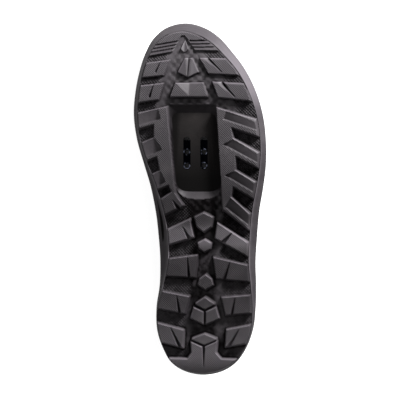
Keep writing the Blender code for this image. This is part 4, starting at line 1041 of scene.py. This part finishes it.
def inner_pad(along, step):
    """How far the padded collar's lining stands into the shoe past the upper's wall."""
    where = ease(0.42 - along, 0, 0.04) * ease(along, 0.03, 0.075)
    return 3.2 * where * np.sin(np.pi * np.clip((step - 0.58) / 0.44, 0, 1)) ** 0.8


def skin(along, side, step):
    """The upper's outside with its relief."""
    out = upper_relief(along, side, step)[0]
    return upper_at(along, side, step) + outward(along, side, np.clip(step, 0, 0.985)) * out[..., None]


def roll(along, side, turn):
    """The rounded edge of collar and throat: half a circle from the outside, at 0, to the lining, at pi."""
    one = np.ones_like(along)
    top = upper_at(along, side, one)
    n = outward(along, side, one * NEAR_TOP)
    climb = unit(top - upper_at(along, side, one * NEAR_TOP))
    out, pad = upper_relief(along, side, one)[0], inner_pad(along, one)
    middle, radius = (out - WALL - pad) / 2, (out + WALL + pad) / 2
    sideways, upwards = middle + radius * np.cos(turn), 0.75 * radius * np.sin(turn)
    return top + (n * sideways[..., None] + climb * upwards[..., None])


def rings_of(face, steps):
    """Rings of one face of the upper, one for each step, or for each turn of its rolled edge."""
    return [around(lambda a, s, k=k: face(a, s, k + 0 * a), SIDE_COLS) for k in steps]


def skin_uv(rings):
    """Lengths over the skin, in units of 100 mm: round the shoe by its own foot line, up by each column."""
    looped = np.concatenate([rings, rings[:, :1]], axis=1)
    run = run_of(looped[len(rings) // 3])
    climb = np.linalg.norm(np.diff(looped, axis=0), axis=2)
    high = np.concatenate([0 * run[None], np.cumsum(climb, axis=0)])
    return np.dstack([np.broadcast_to(run, high.shape), high]) * 0.01


steps, turns = np.linspace(0, 1, UP_ROWS) ** 0.9, np.linspace(0, np.pi / 2, 6)[1:]
rings = np.array(rings_of(skin, steps) + rings_of(roll, turns))
marks = {}
for name in ("panel", "rim", "fold", "pad"):
    mask = rings_of(lambda a, s, k, name=name: upper_relief(a, s, k)[1][name][:, None], steps)
    marks[name] = np.array(mask + mask[-1:] * len(turns))[..., 0]
upper_piece = surface("upper_skin", rings, closed=True, uv=skin_uv(rings), marks=marks)
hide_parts("upper")

leather, tree, shader = finish("black synthetic leather", 0.58, 0.16)
lie, object_at = (node(tree, "UVMap", uv_map="lie"), 0), (node(tree, "TexCoord"), 3)
panel, rim, fold, pad = marked(tree, *marks)
grain = placed(tree, mould, object_at, dust=0.6)
pebble = node(tree, "TexVoronoi", {"Vector": lie, "Scale": 95.0}, feature="F1")
tint = blend(tree, panel, (0.0045, 0.0043, 0.0047), (0.0075, 0.0072, 0.0077))
tint = blend(tree, (grain, 1), tint, (0.012, 0.0116, 0.0113))
tint = blend(tree, sums(tree, "MULTIPLY", rim, 0.35), tint, (0.021, 0.0206, 0.0202))
# Painted shade in the creases.
tint = blend(tree, sums(tree, "MULTIPLY", fold, 0.5), tint, (0.004, 0.004, 0.004))
# Small air holes, drawn as a dent with painted shade inside.
holes = node(tree, "TexVoronoi", {"Vector": lie, "Scale": 24.0, "Randomness": 0.0}, feature="F1")
hole = ranged(tree, (holes, 0), 0.24, 0.17)
open_skin = sums(tree, "MULTIPLY", sums(tree, "SUBTRACT", 1.0, panel), sums(tree, "SUBTRACT", 1.0, pad))
pierced = sums(tree, "MULTIPLY", hole, open_skin)
tint = blend(tree, pierced, tint, (0.0006, 0.0006, 0.0006))
height = sums(tree, "MULTIPLY_ADD", (pebble, 0), -0.35, sums(tree, "MULTIPLY", (grain, 0), 0.25))
height = sums(tree, "MULTIPLY_ADD", pierced, -2.0, height)
rough = sums(tree, "MULTIPLY_ADD", (grain, 1), 0.35, 0.42)
feed(tree, shader, base_color=tint, roughness=rough, normal=embossed(tree, height, 0.9, 0.0003))
wear(upper_piece, leather)

# Stitches: bonded thread along the edges of the overlays, two rows at the throat, each stitch a short round
# thread that dips into the skin at both ends.


def stitches(name, lines, pitch=3.4, long=2.5, thick=0.32):
    """Threads along lines given as (points, normals): each a tapered tube of five rings with six sides,
    which bows up from the skin between its ends."""
    starts, ends, ups = [], [], []
    for points, normals in lines:
        at = run_of(points)
        first = np.arange(pitch / 2, at[-1] - long, pitch)
        for store, where in ((starts, first), (ends, first + long)):
            store.append(np.stack([np.interp(where, at, points[:, k]) for k in range(3)], -1))
        ups.append(np.stack([np.interp(first, at, normals[:, k]) for k in range(3)], -1))
    a, b, up = np.vstack(starts), np.vstack(ends), np.vstack(ups)
    way = unit(b - a)
    across = unit(np.cross(way, up))
    up = np.cross(across, way)
    a, b, up, across = (v[:, None, None, :] for v in (a, b, up, across))
    t = np.array([0, 0.15, 0.5, 0.85, 1.0])[:, None]
    size = np.array([0.15, 0.8, 1.0, 0.8, 0.15])[:, None] * thick
    lift = np.array([-0.2, 0.12, 0.22, 0.12, -0.2])[:, None]
    turn = np.arange(6)[None, :] / 6 * 2 * np.pi
    points = a + (b - a) * t[None, ..., None] + up * (lift + size * np.sin(turn))[None, ..., None]
    points = points + across * (size * np.cos(turn))[None, ..., None]
    uv = np.dstack(np.meshgrid(np.linspace(0, 0.06, 7), np.linspace(0, 0.3, 5)))
    return surface(name, points, closed=True, uv=uv)


def seam(along, side, step):
    """A line of stitches over the upper: its points on the skin, and the skin's normals there."""
    return skin(along, side, step), outward(along, side, step)


SEAM_IN, EDGE_SEAM, TWIN = 0.022, 0.965, 0.020  # from an overlay's rim, at the throat's edge, beside a brace
seams = []
for side in (-1, 1):
    along = np.linspace(0.02, 0.985, 400)
    seams.append(seam(along, side, column(MUDGUARD, "step", along) - SEAM_IN))
    along = np.linspace(0.425, 0.985, 260)
    seams.append(seam(along, side, column(STAY, "step", along) + SEAM_IN))
    seams.append(seam(along, side, EDGE_SEAM + 0 * along))
    step = np.linspace(0.33, 0.86, 120)
    for off in (-TWIN, TWIN):
        seams.append(seam(BRACE_AT + BRACE_LEAN * step + off, side, step))
thread = cloth_finish("bonded thread", 60.0, (0.02, 0.02, 0.021), (0.045, 0.045, 0.047), 0.0001, 0.6, 0.3)
upper_seams = stitches("upper_stitches", seams)
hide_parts("upper")
wear(upper_seams, thread)

# Lining and collar: soft spacer mesh over foam, sewn to the skin along the rolled edge and glued down
# inside. The foam makes a soft bolster round the ankle.
LINING_ROWS = 44


def lining(along, side, step):
    """The inside: the upper's wall inwards from its outside, and the collar's foam."""
    deep = WALL + inner_pad(along, step)
    return upper_at(along, side, step) - outward(along, side, np.clip(step, 0, NEAR_TOP)) * deep[..., None]


turns, steps = np.linspace(np.pi / 2, np.pi, 7)[:-1], np.linspace(1, 0.02, LINING_ROWS)
rings = np.array(rings_of(roll, turns) + rings_of(lining, steps))
lining_piece = surface("upper_lining", rings, closed=True, uv=skin_uv(rings))
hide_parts("upper")

spacer, tree, shader = finish("black spacer mesh", 0.9, 0.25)
lie = (node(tree, "UVMap", uv_map="lie"), 0)
# Open cells of the mesh, drawn as dents with painted shade inside.
cells = node(tree, "TexVoronoi", {"Vector": lie, "Scale": 48.0, "Randomness": 0.12}, feature="F1")
pit = ranged(tree, (cells, 0), 0.45, 0.15)
weave = placed(tree, cloth, lie, threads=240.0)
tint = blend(tree, (weave, 1), (0.008, 0.008, 0.0083), (0.022, 0.022, 0.023))
tint = blend(tree, pit, tint, (0.0012, 0.0012, 0.0012))
height = sums(tree, "MULTIPLY_ADD", pit, -1.0, sums(tree, "MULTIPLY", (weave, 0), 0.25))
feed(tree, shader, base_color=tint, normal=embossed(tree, height, 0.8, 0.0005))
wear(lining_piece, spacer)

# Tongue: a long pad of foam between two layers of spacer mesh, bound round its edge and quilted by three
# sewn channels. It lies under the throat's edges and stands past the collar at the ankle.
TONGUE_T, TONGUE_DIP, UNDER = 3.0, 2.2, WALL + GAP + 0.5
TONGUE_ALONG = (0.43, 0.46, 0.50, 0.55, 0.60, 0.65, 0.70, 0.75, 0.80, 0.86)
TONGUE_UNDER = (0.84, 0.92, 1.0)
TONGUE_FRONT = ((0.91, 0.80), (0.945, 0.84), (0.975, 0.87), (1.0, 0.88))
TONGUE_TOP = ((0.66, 1.0, 0.7, -16.0, 14.0), (0.72, 1.0, 0.8, -9.0, 6.5))


def under_upper(along, side, step, deep):
    """A point this deep under the upper's outside."""
    a, s = np.array([along]), np.array([step])
    return (upper_at(a, side, s) - outward(a, side, s) * deep)[0]


def tongue_row(along):
    """Seven points across the tongue, which dips towards its front to pass under the end of the throat."""
    deep = UNDER + TONGUE_DIP * max(0.0, (along - 0.7) / 0.16) ** 2
    lateral = [under_upper(along, -1, s, deep) for s in TONGUE_UNDER]
    medial = [under_upper(along, 1, s, deep) for s in TONGUE_UNDER][::-1]
    crown = (lateral[-1] + medial[0]) / 2 + np.array([0, 0, 1.6 * (1 - ((along - 0.43) / 0.45) ** 2)])
    return lateral + [crown] + medial


rows = [tongue_row(a) for a in TONGUE_ALONG]
front = [under_upper(a, -1, s, UNDER + TONGUE_DIP) for a, s in TONGUE_FRONT]
rows.append(front + [under_upper(a, 1, s, UNDER + TONGUE_DIP) for a, s in TONGUE_FRONT[-2::-1]])
first = np.array(rows[0])
for wide, same, high, back, up in TONGUE_TOP[::-1]:
    grown = first.mean(0) + (first - first.mean(0)) * np.array([wide, same, high]) + np.array([0, back, up])
    rows.insert(0, grown)


def refined(points, rows, cols):
    """A grid of points carried through with smooth cubics, first along its rows and then its columns."""
    a, b = np.arange(points.shape[0]), np.arange(points.shape[1])
    u, v = np.linspace(0, a[-1], rows), np.linspace(0, b[-1], cols)
    half = np.array([[smooth(u, a, points[:, j, k]) for k in range(3)] for j in b]).transpose(2, 0, 1)
    grid = [[smooth(v, b, half[i, :, k]) for k in range(3)] for i in range(rows)]
    return np.array(grid).transpose(0, 2, 1)


def grid_normals(points):
    """Unit normals of a grid: its columns' slope crossed with its rows' slope."""
    n = np.cross(np.gradient(points, axis=1), np.gradient(points, axis=0))
    return n / np.maximum(np.linalg.norm(n, axis=-1), 1e-9)[..., None]


def slab(top, under):
    """A closed ring for each row, over the top and back under it, both ends drawn to their middle line."""
    loops = np.concatenate([top[:, ::-1], under], axis=1)
    middle = (top + under) / 2
    ends = [np.concatenate([middle[[k]][:, ::-1], middle[[k]]], axis=1) for k in (0, -1)]
    return np.concatenate([ends[0], loops, ends[1]])


def lengths(points):
    """Lengths over a closed slab in units of 100 mm, for its cloth."""
    looped = np.concatenate([points, points[:, :1]], axis=1)
    run, high = run_of(looped[len(looped) // 2]), run_of(points.mean(1))
    return np.dstack(np.meshgrid(run, high)) * 0.01


TONGUE_ROWS, TONGUE_COLS, QUILT_ROWS, QUILT_COLS = 110, 61, slice(2, 60), (17, 43)
sheet = refined(np.array(rows, float), TONGUE_ROWS, TONGUE_COLS)
n = grid_normals(sheet)
n *= np.where(n[..., 2:] < 0, -1, 1)
u, v = np.meshgrid(np.linspace(-1, 1, TONGUE_COLS), np.linspace(0, 1, TONGUE_ROWS))
edge = np.clip(np.minimum(1 - np.abs(u), np.minimum(v, 1 - v) * 5) / 0.16, 0, 1) ** 0.5
quilt = 1 - 0.5 * np.exp(-(((np.abs(u) - 0.42) / 0.05) ** 2)) - 0.35 * np.exp(-((u / 0.05) ** 2))
puff = 1.1 * edge * quilt * ease(0.55 - v, 0, 0.35) + 0.15
bind = 0.35 * np.exp(-(((1 - np.abs(u)) / 0.07) ** 2)) * (v < 0.5)
top = sheet + n * (puff + bind)[..., None]
below = sheet - n * (TONGUE_T - 0.5 * (1 - edge))[..., None]
points = slab(top, below)
tongue_piece = surface("tongue_pad", points, closed=True, uv=lengths(points))
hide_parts("tongue")
wear(tongue_piece, spacer)
quilting = [(top[QUILT_ROWS, c], n[QUILT_ROWS, c]) for c in QUILT_COLS]
tongue_seams = stitches("tongue_stitches", quilting, 3.0, 2.2, 0.28)
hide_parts("tongue")
wear(tongue_seams, thread)

# Closing straps: three flat bands of tightly woven webbing, each sewn to the outer side, pulled over the
# throat and pressed down on the inner side by its hooked face. Their free ends are cut round.
STRAP_T, STRAP_W, STRAP_COLS, BRIDGE_BOW = 1.8, 21.0, 15, 2.4
STRAPS = table("along from_step to_step", (0.755, 0.42, 0.55), (0.615, 0.42, 0.58), (0.500, 0.44, 0.62))
WEB_DARK, WEB_LIGHT = (0.003, 0.003, 0.0033), (0.011, 0.011, 0.0117)
webbing = cloth_finish("woven webbing", 105.0, WEB_DARK, WEB_LIGHT, 0.0004, 0.7, 0.2)


def strap_sheet(row):
    """The strap's underside, 60 lines along by 15 across: on the upper's own curve, and over the throat a
    bridge that bows up by a parabola. Its free end narrows on a half ellipse."""
    across = np.linspace(-1, 1, STRAP_COLS)[None, :] * STRAP_W / 2
    sides = []
    for side, stops in ((-1, row["from_step"]), (1, row["to_step"])):
        step = np.linspace(stops, 1.0, 26)[:, None]
        tip = np.clip((step - stops) / 0.075, 0, 1) if side > 0 else 1 + 0 * step
        wide = np.sqrt(1 - (1 - tip) ** 2) * 0.75 + 0.25 * (tip > 0)
        along = row["along"] + across * wide / (320.0 - 110.0 * step)
        step = step + 0 * along
        line = upper_at(along, side, step) + outward(along, side, np.clip(step, 0, 0.98)) * (GAP + 0.75)
        sides.append(line if side < 0 else line[::-1])
    a, b = sides[0][-1], sides[1][0]
    share = np.linspace(0, 1, 10)[1:-1, None, None]
    bridge = a + (b - a) * share + np.array([0, 0, BRIDGE_BOW]) * (4 * share * (1 - share))
    return np.vstack([sides[0], bridge, sides[1]])


for number, row in enumerate(rows_of(STRAPS), 1):
    sheet = strap_sheet(row)
    n = grid_normals(sheet)
    n *= np.where((n * (sheet - np.array([5.0, 140.0, 0.0]))).sum(-1) < 0, -1, 1)[..., None]
    u = np.linspace(-1, 1, STRAP_COLS)[None, :, None]
    thick = STRAP_T * (0.75 + 0.25 * (1 - u**6))
    points = slab(sheet[:, ::-1] + n[:, ::-1] * thick, sheet[:, ::-1])
    strap_piece = surface(f"strap_{number}_webbing", points, closed=True, uv=lengths(points))
    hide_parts(f"strap_{number}")
    wear(strap_piece, webbing)
    top = sheet + n * STRAP_T
    lines = [(top[1:-2, c], n[1:-2, c]) for c in (1, STRAP_COLS - 2)]
    lines += [(top[r, 1:-1], n[r, 1:-1]) for r in (2, 8)]
    strap_seams = stitches(f"strap_{number}_stitches", lines, 3.2, 2.4, 0.3)
    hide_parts(f"strap_{number}")
    wear(strap_seams, thread)

# Pull loop: a doubled woven tape over the back of the collar, for a finger to pull. It is sewn down outside
# and inside.
LOOP_W, LOOP_T, LOOP_BOW, LOOP_UP, LOOP_COLS = 12.0, 1.5, 1.7, 9.0, 13
back = upper_at(np.zeros(9), 1, np.linspace(0.72, 1.0, 9))[:, 1:]
outer_line = back - np.array([GAP + LOOP_T / 2, 0])
inner_line = back + np.array([WALL + GAP + LOOP_BOW + LOOP_T / 2, 0])
half = (inner_line[-1, 0] - outer_line[-1, 0]) / 2
turn = np.linspace(np.pi, 0, 17)
arc_y, arc_z = outer_line[-1, 0] + half + half * np.cos(turn), back[-1, 1] + LOOP_UP + half * np.sin(turn)
arc = np.column_stack([arc_y, arc_z])
path = np.vstack([outer_line, arc, inner_line[::-1][:6]])
way = unit(np.gradient(path, axis=0))
across = np.linspace(-1, 1, LOOP_COLS)
middle_x = float(upper_at(np.zeros(1), 1, np.ones(1))[0, 0])


def loop_face(out):
    """One face of the tape, this far to the side of its path, thinner at its two edges."""
    thick = out * (0.8 + 0.2 * (1 - across**6))
    off = np.column_stack([-way[:, 1], way[:, 0]])[:, None] * thick[None, :, None]
    yz = path[:, None] + off
    x = np.broadcast_to(middle_x + LOOP_W / 2 * across, yz.shape[:2])
    return np.dstack([x, yz])


points = slab(loop_face(LOOP_T / 2), loop_face(-LOOP_T / 2))
loop_piece = surface("pull_loop_tape", points, closed=True, uv=lengths(points))
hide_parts("pull_loop")
tape = cloth_finish("woven tape", 130.0, (0.005, 0.005, 0.0053), (0.020, 0.020, 0.021), 0.0004, 0.8, 0.2)
wear(loop_piece, tape)
outside = loop_face(LOOP_T / 2)
flat = np.zeros(outside.shape[:2])
facing = np.dstack([flat, flat - way[:, None, 1], flat + way[:, None, 0]])
lines = [(outside[:7, c], facing[:7, c]) for c in (1, LOOP_COLS - 2)]
lines += [(outside[r, 1:-1], facing[r, 1:-1]) for r in (1, 6)]
loop_seams = stitches("pull_loop_stitches", lines, 2.6, 1.9, 0.25)
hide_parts("pull_loop")
wear(loop_seams, thread)

# Floor, light and camera. The shoe lies on a pale table that glows faintly, in a pale room. The main light
# stands far past the toe, a little to the outer side, so edges that face the toe shine.
REACH, FLOOR_COLOUR, FLOOR_GLOW = 3.0, 0.12, 0.97
corners = [(-REACH, -REACH, 0), (REACH, -REACH, 0), (REACH, REACH, 0), (-REACH, REACH, 0)]
floor_mesh = bpy.data.meshes.new("floor")
floor_mesh.from_pydata(corners, [], [(0, 1, 2, 3)])
floor_piece = bpy.data.objects.new("floor", floor_mesh)
bpy.context.scene.collection.objects.link(floor_piece)
pale, tree, shader = finish("pale floor", 0.9, 0.1)
shader.inputs["Base Color"].default_value = (*[FLOOR_COLOUR] * 3, 1)
shader.inputs["Emission Color"].default_value = (1, 1, 1, 1)
shader.inputs["Emission Strength"].default_value = FLOOR_GLOW
floor_mesh.materials.append(pale)

world = bpy.data.worlds.new("pale room")
bpy.context.scene.world = world
world.use_nodes = True
world.node_tree.nodes["Background"].inputs["Color"].default_value = (1, 1, 1, 1)
world.node_tree.nodes["Background"].inputs["Strength"].default_value = 1.0
bpy.context.scene.view_settings.view_transform = "Standard"


def stand(made, axes, at):
    """Puts a light or a camera at a point in metres, with its own axes along these columns."""
    made.matrix_world = Matrix([[*axes[k], at[k]] for k in range(3)] + [[0, 0, 0, 1]])
    bpy.context.scene.collection.objects.link(made)


def lamp(name, at, towards, size, power):
    """A square area light at a point of the shoe's frame, in millimetres, that looks at another."""
    data = bpy.data.lights.new(name, "AREA")
    data.shape, data.size, data.energy = "SQUARE", size, power
    made = bpy.data.objects.new(name, data)
    start, end = lay_down([at])[0], lay_down([towards])[0]
    back = unit(start - end)
    side = unit(np.cross([0.0, 0.3, 1.0], back))
    stand(made, np.column_stack([side, np.cross(back, side), back]), start)


lamp("toe light", at=(-680, 1030, -430), towards=(5, 150, 0), size=0.3, power=132.0)

LOOK_AT = np.array([3.6, 140.8, 0.0])  # the middle of the picture
TILT, DISTANCE, VIEW_WIDE, SENSOR = np.radians(8.0), 1500.0, 322.8, 36.0
way = np.array([np.sin(TILT), 0.0, np.cos(TILT)])
right = np.array([-np.cos(TILT), 0.0, np.sin(TILT)])
eye = lay_down([LOOK_AT - way * DISTANCE])[0]
axes = np.column_stack([TURN @ right, TURN @ [0.0, 1.0, 0.0], TURN @ -way])
camera = bpy.data.cameras.new("camera")
camera.sensor_width = SENSOR
camera.lens = SENSOR * DISTANCE / VIEW_WIDE
camera.clip_end = 50.0
camera_object = bpy.data.objects.new("camera", camera)
stand(camera_object, axes, eye)
bpy.context.scene.camera = camera_object
